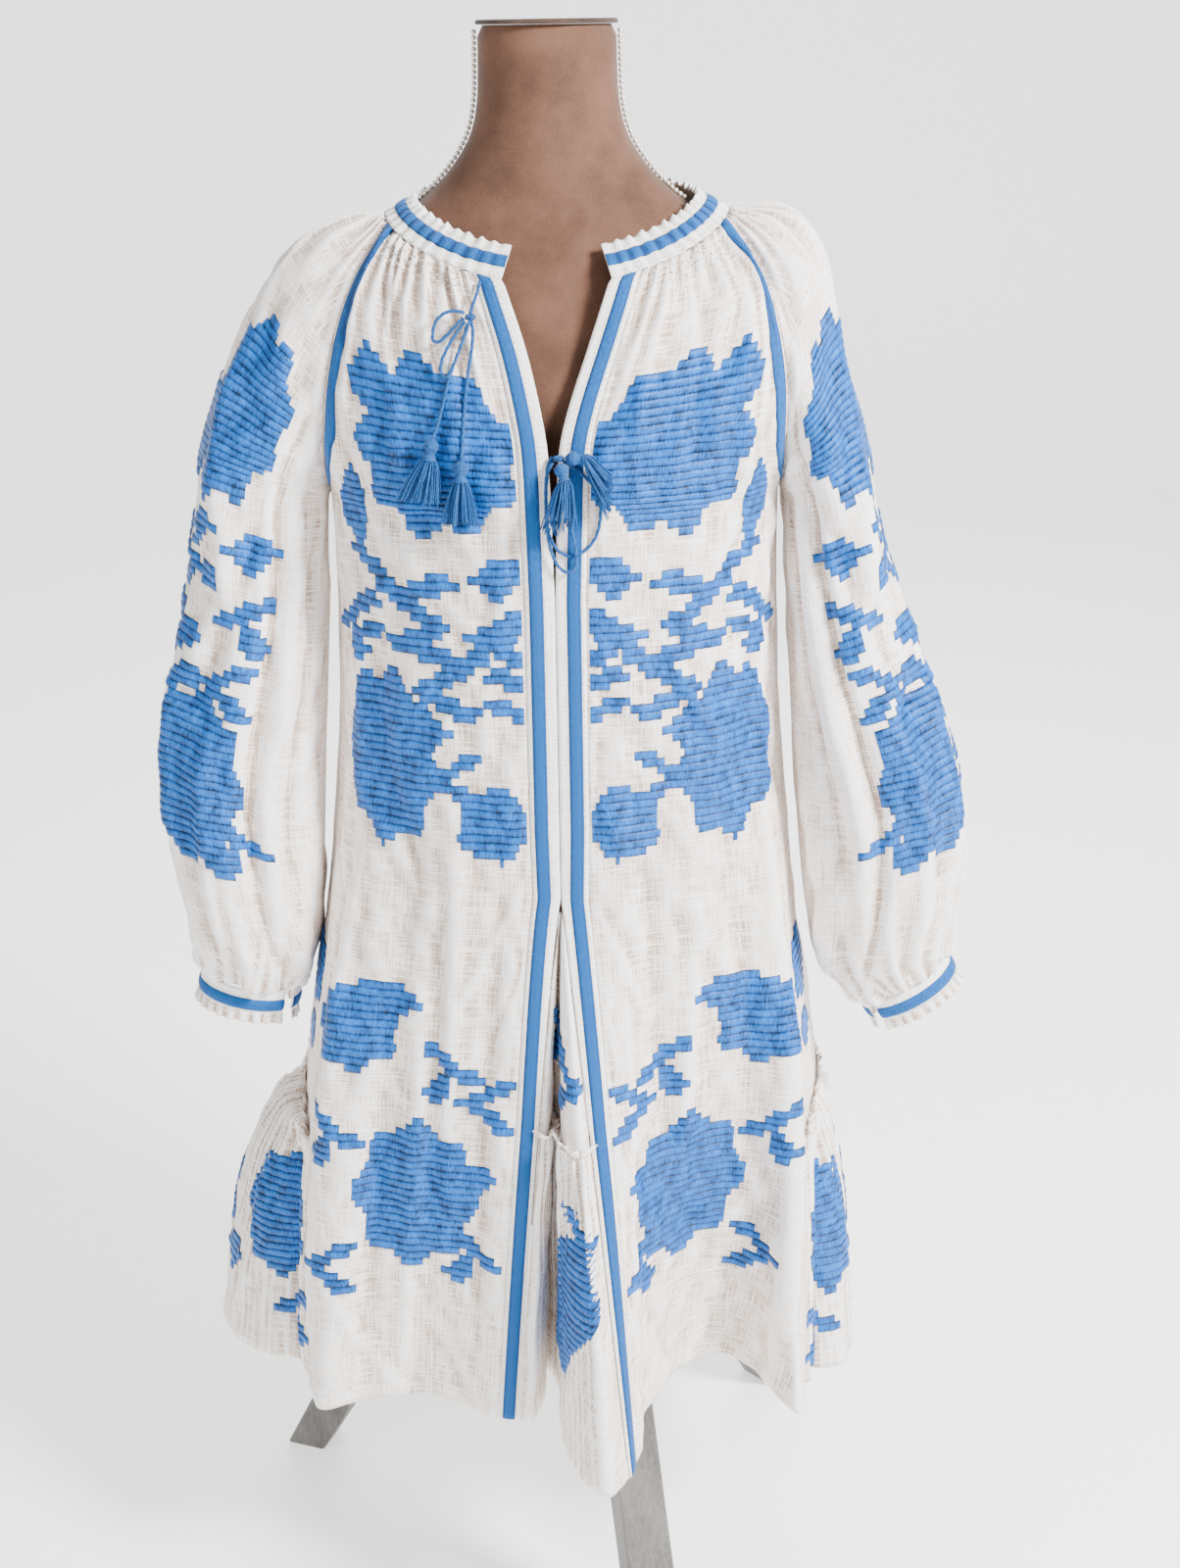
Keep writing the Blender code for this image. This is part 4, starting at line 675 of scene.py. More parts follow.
@dataclass(frozen=True)
class Gather:
    """Uneven small pleats that run away from a seam."""

    count: int
    height: float
    reach: float
    seed: int
    from_below: bool = False
    keep: float = 0.0

    def heights(self, cloth: Cloth) -> Array:
        """How far the pleats move each point of a piece.

        Args:
            cloth: the piece.

        Returns:
            The heights.
        """
        dice = np.random.default_rng(self.seed)
        share, y = cloth.share[None, :], cloth.down[:, None]
        if self.from_below:
            y = cloth.down[-1] - y
        total = np.zeros(cloth.points.shape[:2])
        for k in range(self.count):
            place = (k + 0.5 + dice.uniform(-0.32, 0.32)) / self.count
            width = dice.uniform(0.22, 0.46) / self.count
            drift = dice.uniform(-0.7, 0.7) / self.count
            tall = self.height * dice.uniform(0.4, 1.25)
            fade = self.reach * dice.uniform(0.35, 1.6)
            lean = place + drift * np.clip(y / self.reach, 0.0, 2.0)
            fall = (1 - self.keep) * np.exp(-(y / fade)**1.6) + self.keep
            total += tall * np.exp(-((share - lean) / width)**2) * fall
        root = 1.0 - 0.75 * np.exp(-y / 0.003)
        edge = smoothly(share * self.count) * smoothly((1 - share) * self.count)
        return (total - 0.45 * self.height * np.exp(-(y / self.reach)**1.6)) * root * edge


def rumple(cloth: Cloth, height: float, size: float, seed: int) -> Array:
    """Faint uneven hand of the cloth: a few slow waves over each other, mostly upright.

    Args:
        cloth: the piece.
        height: how high they rise.
        size: how long they are.
        seed: their seed.

    Returns:
        How far they move each point.
    """
    dice = np.random.default_rng(seed)
    x, y = cloth.across, cloth.down[:, None]
    total = np.zeros_like(x)
    for _ in range(12):
        length = size * dice.uniform(0.6, 2.2)
        slant = dice.normal(0.0, 0.35)
        phase, swell = dice.uniform(0, FULL_TURN), dice.uniform(0, FULL_TURN)
        total += np.sin(FULL_TURN * (x + slant * y) / length + phase) * np.sin(
            FULL_TURN * y / (length * 3.1) + swell)
    return total * height / 3.5


def frill_wave(seed: int, columns: int, period: float, spread: float, second: tuple[float, float, float]) -> Array:
    """The uneven waves of a frill.

    Args:
        seed: their seed.
        columns: how many columns the frill has.
        period: how many columns a wave takes.
        spread: how much the waves differ in length.
        second: the height, pace and phase of the slower wave over them.

    Returns:
        Heights of about -1 to 1 for the columns.
    """
    height, pace, phase = second
    angle = np.cumsum(np.random.default_rng(seed).uniform(1 - spread, 1 + spread, columns)) * (FULL_TURN / period)
    return np.sin(angle) + height * np.sin(angle * pace + phase)


# Materials


def linear(colour: str) -> tuple[float, float, float, float]:
    """An sRGB hex colour as linear RGBA."""
    parts = [int(colour[i:i + 2], 16) / 255 for i in (1, 3, 5)]
    return (*((part / 12.92 if part <= 0.04045 else ((part + 0.055) / 1.055)**2.4) for part in parts), 1.0)


def fill(tree: Tree, node: Node, inputs: dict) -> None:
    """Sets or links a node's inputs.

    Args:
        tree: the node tree.
        node: the node.
        inputs: by an input's name or number a value, an output, or a node whose first output is linked.
    """
    for name, value in inputs.items():
        value = value.outputs[0] if isinstance(value, Node) else value
        if isinstance(value, bpy.types.NodeSocket):
            tree.links.new(value, node.inputs[name])
        else:
            node.inputs[name].default_value = value


def add_node(tree: Tree, kind: str, inputs: dict | None = None,
             stops: Sequence[tuple[float, str]] = (), **settings: object) -> Node:
    """Adds a node.

    Args:
        tree: the material's node tree.
        kind: the node's type, without the "ShaderNode" that it starts with.
        inputs: what to set or link its inputs to.
        stops: a colour ramp's places from 0 to 1 and its hex colours.
        settings: the node's own settings.

    Returns:
        The node.
    """
    node = tree.nodes.new("ShaderNode" + kind)
    for name, value in settings.items():
        setattr(node, name, value)
    fill(tree, node, inputs or {})
    for place, _ in stops[1:-1]:
        node.color_ramp.elements.new(place)
    for element, (place, colour) in zip(node.color_ramp.elements if stops else (), stops):
        element.position = place
        element.color = linear(colour)
    return node


@dataclass(frozen=True)
class Finish:
    """A finish: its name, the record's slot for it, its colours and the constants of its shader."""

    name: str
    slot: str
    light: str
    dark: str
    roughness: float = 0.9
    sheen: float = 0.0
    sheen_roughness: float = 0.5
    metallic: float = 0.0
    specular: float = 0.5

    def build(self) -> bpy.types.Material:
        """The material, its constants set and its pattern linked."""
        material = bpy.data.materials.new(self.name)
        material.use_nodes = True
        material.diffuse_color = linear(self.light)
        tree = material.node_tree
        colour, relief = self.draw(tree)
        fill(tree, tree.nodes["Principled BSDF"], {
            "Roughness": self.roughness, "Metallic": self.metallic, "Specular IOR Level": self.specular,
            "Sheen Weight": self.sheen, "Sheen Roughness": self.sheen_roughness,
            "Base Color": colour, "Normal": relief})
        return material

    def draw(self, tree: Tree) -> Pattern:
        """The colour and the relief of the pattern; each finish draws its own."""
        raise NotImplementedError

    def grain(self, tree: Tree, across: float, down: float, detail: float) -> Node:
        """A stretched pattern of noise on the cut of the cloth.

        Args:
            tree: the material's node tree.
            across: how many grains go to a metre across the cut.
            down: how many go to a metre down it.
            detail: how fine the noise is.

        Returns:
            The node that gives it.
        """
        cut = add_node(tree, "UVMap", uv_map=UV_NAME)
        place = add_node(tree, "Mapping", {"Vector": cut, "Scale": (across, down, 1.0)})
        return add_node(tree, "TexNoise", {"Vector": place, "Scale": 1.0, "Detail": detail}, noise_dimensions="2D")


@dataclass(frozen=True)
class SlubLinen(Finish):
    """Washed open-weave linen: uneven slub threads both ways, the form faintly seen between them, and painted shade in
    its furrows.
    """

    thread: float = 0.0009
    slub: float = 0.0016
    slub_length: float = 0.045
    gap: str = "#b29c8c"
    shown: str = "#ba9b8b"

    def draw(self, tree: Tree) -> Pattern:
        """Threads both ways, coarser than the real 0.6 mm so that they show, over soft creases of 14 by 26 mm; painted
        shade darkens the furrows and painted light brightens the ridges.

        Args:
            tree: the material's node tree.

        Returns:
            The colour and the relief.
        """
        crossed = []
        for width, length in ((self.thread, self.slub_length * 0.4), (self.slub, self.slub_length)):
            ways = (self.grain(tree, 1 / width, 1 / length, 1.0), self.grain(tree, 1 / length, 1 / width, 1.0))
            crossed.append(add_node(tree, "Math", dict(enumerate(ways)), operation="MAXIMUM"))
        weave = add_node(tree, "Math", dict(enumerate(crossed)), operation="ADD")
        depth = add_node(tree, "MapRange", {0: weave, 1: 0.88, 2: 1.34, 3: 0.1, 4: 1.0})
        # Painted shade: the folded mark darkens the cloth's colour in furrows, down towards the gap colour, and
        # lightens it on ridges, up towards white
        bent = add_node(tree, "Attribute", attribute_name="folded").outputs["Fac"]
        shaded = add_node(tree, "Math", {0: bent, 1: -0.46, 2: depth}, operation="MULTIPLY_ADD", use_clamp=True)
        cloth = add_node(tree, "ValToRGB", {0: shaded},
                         ((0.0, self.gap), (0.30, self.dark), (0.56, self.light), (1.0, "#ffffff")))
        behind = add_node(tree, "Attribute", attribute_name="form_near").outputs["Fac"]
        gap = add_node(tree, "MapRange", {0: depth, 1: 0.0, 2: 1.0, 3: 0.62, 4: 0.08})
        seen = add_node(tree, "Math", {0: behind, 1: gap}, operation="MULTIPLY")
        colour = add_node(tree, "Mix", {0: seen, 6: cloth, 7: linear(self.shown)}, data_type="RGBA")
        creases = self.grain(tree, 70.0, 38.0, 3.0)
        soft = add_node(tree, "Bump", {"Height": creases, "Distance": 0.0022, "Strength": 0.55})
        bump = add_node(tree, "Bump", {"Height": depth, "Distance": 0.0003, "Strength": 0.6, "Normal": soft})
        return colour.outputs[2], bump


@dataclass(frozen=True)
class WovenRibbon(Finish):
    """Matt woven cotton tape: fine ribs across it, a little darker between them, with painted shade in its furrows."""

    rib: float = 0.0012
    worn: str = "#1c64ac"

    def draw(self, tree: Tree) -> Pattern:
        """Ribs of 0.5 mm, drawn at 1.2 mm so that they show, broken by worn places of 1 by 5 mm; painted shade darkens
        the furrows and painted light brightens the ridges.

        Args:
            tree: the material's node tree.

        Returns:
            The colour and the relief.
        """
        cut = add_node(tree, "UVMap", uv_map=UV_NAME)
        wave = add_node(tree, "TexWave", {"Vector": cut, "Scale": 0.31416 / self.rib, "Distortion": 0.6,
                                          "Detail": 1.0}, bands_direction="DIAGONAL")
        worn = self.grain(tree, 900.0, 220.0, 2.0)
        mixed = add_node(tree, "Mix", {0: 0.6, 2: wave.outputs[1], 3: worn}, data_type="FLOAT")
        # Painted shade: the folded mark darkens the tape in its furrows and lightens it on ridges
        bent = add_node(tree, "Attribute", attribute_name="folded").outputs["Fac"]
        shaded = add_node(tree, "Math", {0: bent, 1: -0.30, 2: mixed}, operation="MULTIPLY_ADD")
        colour = add_node(tree, "ValToRGB", {0: shaded}, ((0.18, self.dark), (0.66, self.light), (0.95, self.worn)))
        return colour.outputs[0], add_node(tree, "Bump", {"Height": mixed, "Distance": 0.0003, "Strength": 0.5})


@dataclass(frozen=True)
class SatinStitch(Finish):
    """Stranded cotton in padded satin rows: a painted highlight along the crown of each row and painted shade, deep
    blue, in the grooves.
    """

    strand: float = 0.0015
    # The colour of the painted highlight along each row's crown
    shine: str = "#0c74d0"

    def draw(self, tree: Tree) -> Pattern:
        """Strands of 0.4 mm down each row, drawn at 1.5 mm so that they show, over bundles six times as wide; the
        strands give uneven tone with small painted glints.

        Args:
            tree: the material's node tree.

        Returns:
            The colour and the relief.
        """
        strands = self.grain(tree, 1 / self.strand, 1 / 0.006, 2.0)
        bundles = self.grain(tree, 1 / (self.strand * 6), 1 / 0.016, 2.0)
        both = add_node(tree, "Math", {0: strands, 1: bundles}, operation="ADD")
        # Painted light: the crown mark lifts each row's crown towards the painted highlight, and its edges fall to
        # painted shade in the grooves
        crown = add_node(tree, "Attribute", attribute_name="crown").outputs["Fac"]
        lit = add_node(tree, "Math", {0: both, 1: 1.05, 2: -1.05}, operation="MULTIPLY_ADD")
        tone = add_node(tree, "Math", {0: crown, 1: 0.62, 2: lit}, operation="MULTIPLY_ADD", use_clamp=True)
        colour = add_node(tree, "ValToRGB", {0: tone}, ((0.0, self.dark), (0.42, self.light), (1.0, self.shine)))
        return colour.outputs[0], add_node(tree, "Bump", {"Height": strands, "Distance": 0.0005, "Strength": 0.6})


@dataclass(frozen=True)
class TwistedCotton(Finish):
    """Twisted cotton cord and tassel thread: soft strands with shaded gaps."""

    fibres: float = 900.0

    def draw(self, tree: Tree) -> Pattern:
        """Tufts of fibre about 1.1 mm long, drawn coarse so that they show; the twist itself is in the mesh.

        Args:
            tree: the material's node tree.

        Returns:
            The colour and the relief.
        """
        place = add_node(tree, "TexCoord").outputs["Object"]
        noise = add_node(tree, "TexNoise", {"Vector": place, "Scale": self.fibres, "Detail": 2.0})
        colour = add_node(tree, "ValToRGB", {0: noise}, ((0.3, self.dark), (0.7, self.light)))
        return colour.outputs[0], add_node(tree, "Bump", {"Height": noise, "Distance": 0.0003, "Strength": 0.5})


@dataclass(frozen=True)
class Mottled(Finish):
    """A mottled surface, such as brushed velvet or brushed-on paint: large soft patches and a fine grain."""

    patch: float = 0.03
    grit: float = 0.001
    stretch: tuple[float, float, float] = (1.0, 1.0, 1.0)
    relief: float = 0.0003

    def draw(self, tree: Tree) -> Pattern:
        """Patches over the fine grain, which also gives the relief.

        Args:
            tree: the material's node tree.

        Returns:
            The colour and the relief.
        """
        place = add_node(tree, "TexCoord").outputs["Object"]
        moved = add_node(tree, "Mapping", {"Vector": place, "Scale": self.stretch})
        large = add_node(tree, "TexNoise", {"Vector": moved, "Scale": 1 / self.patch, "Detail": 4.0,
                                            "Roughness": 0.6})
        small = add_node(tree, "TexNoise", {"Vector": moved, "Scale": 1 / self.grit, "Detail": 1.0})
        mixed = add_node(tree, "Mix", {0: 0.3, 2: large, 3: small}, data_type="FLOAT")
        colour = add_node(tree, "ValToRGB", {0: mixed}, ((0.36, self.dark), (0.62, self.light)))
        return colour.outputs[0], add_node(tree, "Bump", {"Height": small, "Distance": self.relief, "Strength": 0.5})


FINISHES = {
    # Plain-woven from slubby yarn and washed soft: matt, off-white, with darker pin holes between its threads
    "linen": SlubLinen("washed slub linen", "linen", "#faece1", "#dbcabd", 0.92, 0.08, specular=0.2),
    # The same linen folded double for bands: whiter and closer, because nothing shows through it
    "doubled": SlubLinen("doubled slub linen", "linen", "#ffffff", "#f4ede4", 0.92, 0.08, specular=0.2,
                         gap="#cdc3b8", shown="#ded5ca"),
    # Narrow-woven and dyed in the yarn: a flat mid blue that shows its ribs
    "ribbon": WovenRibbon("blue woven cotton tape", "blue_ribbon", "#0e5294", "#0a2c5a", 0.8, 0.08, specular=0.2),
    # Mercerised cotton, laid side by side by hand: a soft painted highlight along the crown of each row and painted
    # shade in the grooves
    "satin": SatinStitch("blue satin stitch in stranded cotton", "blue_cord", "#00519c", "#03213f", 0.5, 0.06, 0.4,
                         specular=0.3),
    # Spun and twisted by hand: a matt blue, darker between the plies
    "cord": TwistedCotton("blue twisted cotton", "blue_cord", "#2262a4", "#0d3262", 0.75, 0.12, 0.4, specular=0.25),
    # Tightly spun: a white that stands out from the linen by its small shine
    "thread": TwistedCotton("white sewing thread", "linen", "#f4f1ea", "#c4beb4", 0.7, 0.1, 0.4, specular=0.3),
    # Short pile, brushed both ways: dark brown with a pale edge where it turns away
    "velvet": Mottled("brown brushed velvet", "form_velvet", "#6b4c3d", "#523a2e", 0.85, 0.2, 0.35, specular=0.15,
                      patch=0.045),
    # Buffed leather: darker and duller than the velvet round it
    "cap": Mottled("dark brown suede cap", "cap_suede", "#4d3a30", "#2c201a", 0.9, 0.2, specular=0.2, patch=0.02),
    # Brushed on along the wood: grey streaks that catch a little light
    "paint": Mottled("brushed pale grey paint on wood", "stand_paint", "#787571", "#524f4d", 0.55, patch=0.05,
                     grit=0.003, stretch=(1.0, 1.0, 0.25), relief=0.0002),
    # Drawn tube, ground to a satin face: bright with soft reflections
    "steel": Mottled("satin steel tube", "stand_rod", "#b9b8b6", "#94938f", 0.35, metallic=1.0, patch=0.02,
                     grit=0.0006, relief=0.0001),
    # Glass dipped in pearl lacquer, with silver between: small bright points
    "bead": Mottled("pearl and silver bead trim", "form_velvet", "#f4efe4", "#c9c3b6", 0.25, metallic=0.35,
                    patch=0.002),
}


@cache
def finish(name: str) -> bpy.types.Material:
    """The material of a finish, built once."""
    return FINISHES[name].build()


# Meshes


def placed(name: str, data: bpy.types.ID) -> bpy.types.Object:
    """A new object in the scene, from its mesh, light or camera."""
    bpy.context.scene.collection.objects.link(thing := bpy.data.objects.new(name, data))
    return thing


def mesh_object(name: str, points: Array, faces: Sequence, material: str, nodes: Sequence[str] = (),
                uv: Array | None = None, marks: dict[str, Array] | None = None) -> bpy.types.Object:
    """A smooth piece that rides on the frame.

    Args:
        name: the piece's name.
        points: its points, measured from the form's axis.
        faces: its faces, as lists of point numbers.
        material: the finish.
        nodes: the CAD nodes that it stands for.
        uv: for each point its distances across and down the cut.
        marks: named numbers for each point, read by the material.

    Returns:
        The piece.
    """
    data = bpy.data.meshes.new(name)
    data.from_pydata((points.reshape(-1, 3) + SHIFT).tolist(), [], faces)
    if uv is not None:
        corners = np.empty(len(data.loops), dtype=np.int64)
        data.loops.foreach_get("vertex_index", corners)
        layer = data.uv_layers.new(name=UV_NAME)
        layer.uv.foreach_set("vector", uv.reshape(-1, 2)[corners].astype(np.float32).ravel())
    for key, values in (marks or {}).items():
        data.attributes.new(key, "FLOAT", "POINT").data.foreach_set("value", values.astype(np.float32).ravel())
    data.shade_smooth()
    data.materials.append(finish(material))
    piece = placed(name, data)
    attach(piece, "root")
    if nodes:
        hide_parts(*nodes)
    LOG.info("%s: %d faces", name, len(faces))
    return piece


def grid_faces(rows: int, columns: int, turned: bool, closed: bool = False) -> list:
    """The quads of a grid.

    Args:
        rows: how many rows of points it has.
        columns: how many columns.
        turned: whether its faces look the other way.
        closed: whether it is closed into a tube.

    Returns:
        The quads.
    """
    index = np.arange(rows * columns).reshape(rows, columns)
    if closed:
        index = np.concatenate((index, index[:, :1]), axis=1)
    corners = [index[:-1, :-1], index[:-1, 1:], index[1:, 1:], index[1:, :-1]]
    if turned:
        corners.reverse()
    return np.stack(corners, axis=-1).reshape(-1, 4).tolist()


def joined(blocks: Iterable[tuple[Array, Iterable]]) -> tuple[Array, list]:
    """Several bodies as one.

    Args:
        blocks: each body's points and faces.

    Returns:
        All the points and faces, in one numbering.
    """
    points, faces, count = [], [], 0
    for places, block in blocks:
        points.append(places.reshape(-1, 3))
        faces += [[corner + count for corner in face] for face in block]
        count += len(points[-1])
    return np.concatenate(points), faces


# The dress form's rings, from the cap down: height, half width, front depth and back depth
FORM_RINGS = table("""
    1427 56 56 56/ 1400 56.5 56 56/ 1370 58 56 56/ 1345 64 58 58/ 1322 78 61 60/ 1300 99 60 62/ 1283 123 64 65/
    1266 146 70 69/ 1245 165 83 74/ 1200 168 101 84/ 1140 164 117 88/ 1070 152 112 85/ 960 126 90 76/
    860 145 104 90/ 770 166 112 104/ 700 164 108 102""")
FORM_SQUARENESS = 0.94


def form_nearness(points: Array) -> Array:
    """How near the cloth lies to the form.

    Args:
        points: the cloth's points.

    Returns:
        For each point 1 on the form, and 0 where it hangs more than 7 cm away from it.
    """
    x, y, z = np.moveaxis(points, -1, 0)
    heights, half, front, back = np.array(sorted(FORM_RINGS)).T
    depth = np.where(y < 0, np.interp(z, heights, front), np.interp(z, heights, back))
    size = np.sqrt((x / np.interp(z, heights, half))**2 + (y / depth)**2)
    gap = np.hypot(x, y) * (1 - 1 / np.maximum(size, 1.0))
    below = np.clip((heights[0] - z) / 0.06, 0.0, 1.0)
    return np.clip(1 - gap / 0.07, 0.0, 1.0) * (1 - below)


def cloth_piece(name: str, cloth: Cloth,
                material: str = "linen", thickness: float = 0.0006) -> None:
    """A thin shell of cloth.

    Args:
        name: the piece's name: its CAD node's with a word behind it, or a heading's, which has no node.
        cloth: its grid.
        material: the finish.
        thickness: the thickness of the cloth.
    """
    rows, columns = cloth.points.shape[:2]
    node, _, word = name.rpartition("_")
    uv = np.stack(np.broadcast_arrays(cloth.across, cloth.down[:, None]), axis=-1)
    # The folded mark is read by the materials as painted shade in furrows and painted light on ridges
    piece = mesh_object(name, cloth.points, grid_faces(rows, columns, cloth.facing < 0), material,
                        () if word == "heading" else (node,), uv,
                        {"form_near": form_nearness(cloth.points), "folded": cloth.folded})
    shell = piece.modifiers.new("cloth thickness", "SOLIDIFY")
    shell.thickness = thickness
    shell.offset = -1.0
    LOG.info("%s: %.4f square metres", name, cloth.area)


# Sewing

# Across a padded row of satin: shares of its width, the height at each and how much painted highlight it takes, most on
# the crown and least at the edges, where the grooves get painted shade
SATIN_ROW = np.array(((0.0, 0.10, 0.34, 0.66, 0.90, 1.0), (-0.1, 0.62, 1.0, 0.94, 0.55, -0.1),
                      (0.0, 0.55, 1.0, 0.85, 0.35, 0.0)))


@dataclass
class Sewing:
    """Small closed shapes laid on a piece of cloth: stitches and rows of satin."""

    name: str
    # The rows of shirring, as distances down from the collar, and the way from stitch to stitch
    shirring: tuple[float, ...] = (0.007, 0.013, 0.019)
    shirring_pitch: float = 0.0052
    hem_height: float = 0.018
    satin_height: float = 0.0016
    satin_step: float = 0.0031
    blocks: list = field(default_factory=list)
    uv: list = field(default_factory=list)
    # How much painted highlight each point takes, read by the satin material as the crown mark
    crown: list = field(default_factory=list)

    def add(self, points: Array, faces: Array | list, uv: Array, crown: Array) -> None:
        """Adds shapes.

        Args:
            points: their points.
            faces: their faces, as numbers of these points.
            uv: the points' distances across and down the cut.
            crown: how much painted highlight each point takes, from its place across its row; the satin material paints
                shade in the grooves where it is low.
        """
        self.blocks.append((points, np.asarray(faces).tolist()))
        self.uv.append(uv.reshape(-1, 2))
        self.crown.append(crown.ravel())

    def stitches(self, cloth: Cloth, starts: Array, ends: Array, width: float = 0.0007, height: float = 0.0006) -> None:
        """Adds stitches as small pointed lozenges.

        Args:
            cloth: the piece that they are sewn on.
            starts: where each starts, as distances across and down.
            ends: where each ends.
            width: a stitch's width.
            height: how far it stands out.
        """
        middle = (starts + ends) / 2
        first, _ = cloth.at(*starts.T)
        last, _ = cloth.at(*ends.T)
        centre, out = cloth.at(*middle.T)
        beside = np.cross(unit(last - first), out) * width / 2
        shape = np.stack((first, last, centre + beside + out * height * 0.2, centre + out * height,
                          centre - beside + out * height * 0.2, centre - out * height * 0.3), axis=1)
        ring = ((2, 3), (3, 4), (4, 5), (5, 2))
        tris = np.array([(0, b, a) for a, b in ring] + [(1, a, b) for a, b in ring])
        faces = (tris[None] + 6 * np.arange(len(starts))[:, None, None]).reshape(-1, 3)
        self.add(shape, faces, np.repeat(middle, 6, axis=0), np.full(len(starts) * 6, 0.6))

    def running(self, cloth: Cloth, x: float | Array, y: float | Array, length: float = 0.0024, gap: float = 0.0010,
                **size: float) -> None:
        """Adds a running stitch.

        Args:
            cloth: the piece that it is sewn on.
            x: the distances across of its path, or the one that it keeps.
            y: the distances down of its path, or the one that it keeps.
            length: a stitch's length.
            gap: the way between two stitches.
            size: their width and height.
        """
        line = Line(np.stack(np.broadcast_arrays(x, y), axis=-1))
        marks = np.arange(gap, line.length - length, length + gap)
        self.stitches(cloth, line.at(marks), line.at(marks + length), **size)

    def shirr(self, cloth: Cloth, margins: tuple[float, float], way: tuple[float, float] = (0.0034, 0.0),
              width: float = 0.0010, height: float = 0.0011, unevenness: float = 0.0, seed: int = 0) -> None:
        """Adds the three rows of shirring under the collar.

        Args:
            cloth: the piece that they are sewn on.
            margins: how far from the piece's two edges they stop.
            way: how far a stitch runs across and down.
            width: a stitch's width.
            height: how far it stands out.
            unevenness: how far a stitch may lie above or below its row.
            seed: the seed of that.
        """
        dice = np.random.default_rng(seed)
        for row in self.shirring:
            low, high = cloth.edges(row)
            x = np.arange(low + margins[0], high - margins[1], self.shirring_pitch)
            starts = np.stack((x, row + dice.uniform(-unevenness, unevenness, len(x))), axis=-1)
            self.stitches(cloth, starts, starts + np.array(way), width, height)

    def hem(self, cloth: Cloth, marks: int, height: float) -> None:
        """Adds the stitches of a hem above its edge.

        Args:
            cloth: the piece that it belongs to.
            marks: how many places their path has.
            height: how far they stand out.
        """
        y = cloth.down[-1] - self.hem_height
        low, high = cloth.edges(y)
        self.running(cloth, np.linspace(low + 0.002, high - 0.002, marks), y, 0.0030, 0.0014, height=height)

    def satin(self, cloth: Cloth, x0: float, x1: float, y0: float, y1: float, seed: int) -> None:
        """Adds one padded row of satin stitch.

        Args:
            cloth: the piece that it is sewn on.
            x0: where the row starts across the piece.
            x1: where it ends.
            y0: its upper edge, as a distance down the piece.
            y1: its lower edge.
            seed: the seed of its small unevenness.
        """
        dice = np.random.default_rng(seed)
        columns = max(int(round((x1 - x0) / self.satin_step)), 2) + 1
        wobble = np.stack((dice.uniform(-0.25, 0.25, columns), dice.uniform(-0.25, 0.25, columns))) * 0.001
        # shine: the share of painted highlight across the row
        share, profile, shine = SATIN_ROW[:, :, None]
        top, bottom = y0 + wobble[0], y1 + wobble[1]
        y = top + (bottom - top) * share
        x = np.broadcast_to(np.linspace(x0, x1, columns), y.shape)
        places, out = cloth.at(x, y)
        lift = profile * self.satin_height * dice.uniform(0.93, 1.06, columns)
        lift[:, [0, -1]] = np.minimum(lift[:, [0, -1]] * 0.35, self.satin_height * 0.3)
        self.add(places + out * (lift + 0.00025)[:, :, None], grid_faces(len(share), columns, cloth.facing < 0),
                 np.stack((x, y), axis=-1), np.broadcast_to(shine, y.shape))

    def finish(self, material: str) -> None:
        """Makes the piece, if it has any stitches.

        Args:
            material: the finish.
        """
        if self.blocks:
            points, faces = joined(self.blocks)
            # The crown mark carries the painted highlight and the painted groove shade of the satin rows
            mesh_object(self.name, points, faces, material, uv=np.concatenate(self.uv),
                        marks={"crown": np.concatenate(self.crown)})


@dataclass(frozen=True)
class Rosette:
    """A counted round blossom: its centre on the cut, its half sizes, its lobes, their depth and their turn."""

    x: float
    y: float
    half_width: float
    half_height: float
    lobes: int = 6
    depth: float = 0.14
    turn: float = 0.0

    def covers(self, x: Array, y: Array) -> Array:
        """Which places of the cut it covers, given by their distances across and down."""
        u, v = (x - self.x) / self.half_width, (y - self.y) / self.half_height
        return np.hypot(u, v) < 1.0 - self.depth * (1 - np.cos(self.lobes * np.arctan2(v, u) + self.turn)) / 2


@dataclass(frozen=True)
class Sprig:
    """A counted twig from a chart, its top left corner on the cut, which may be flipped."""

    x: float
    y: float
    chart: str
    flip: bool = False

    CELL = (0.0072, 0.0070)
    CHARTS = {
        "branch": ("..........###...", ".........#####..", "..####..####....", ".######..##.....", "..####..##......",
                   "....####........", "......####.###..", ".###....######..", "#####..##..###..", ".#######........",
                   "....###........."),
        "vine": ("............####", "..........####..", ".###.....###....", "######..###.....", "..#########.....",
                 ".....####..##...", "....####..#####.", "..####......###.", ".####...........", "..#####...###...",
                 "....######.####.", "......###....##."),
        "twig": ("##......", "####....", "..###...", "...####.", "..##.###", ".###....", "####....", ".##....."),
        "leaf": ("...######...", ".##########.", "############", "..########..", "....####...."),
        "tendril": ("###.....", ".###....", "...###..", "....####", "..####..", ".###....", "###....."),
        "bud": (".####..", "######.", ".######", "..####.", "...##.."),
    }

    def covers(self, x: Array, y: Array) -> Array:
        """Which places of the cut it covers.

        Args:
            x: the places' distances across.
            y: their distances down.

        Returns:
            True or false for each place.
        """
        chart = np.array([[mark == "#" for mark in row] for row in self.CHARTS[self.chart]])
        chart = chart[:, ::-1] if self.flip else chart
        rows, columns = chart.shape
        column, row = (np.floor((place - start) / cell).astype(int)
                       for place, start, cell in zip((x, y), (self.x, self.y), self.CELL))
        inside = (column >= 0) & (column < columns) & (row >= 0) & (row < rows)
        return inside & chart[np.clip(row, 0, rows - 1), np.clip(column, 0, columns - 1)]


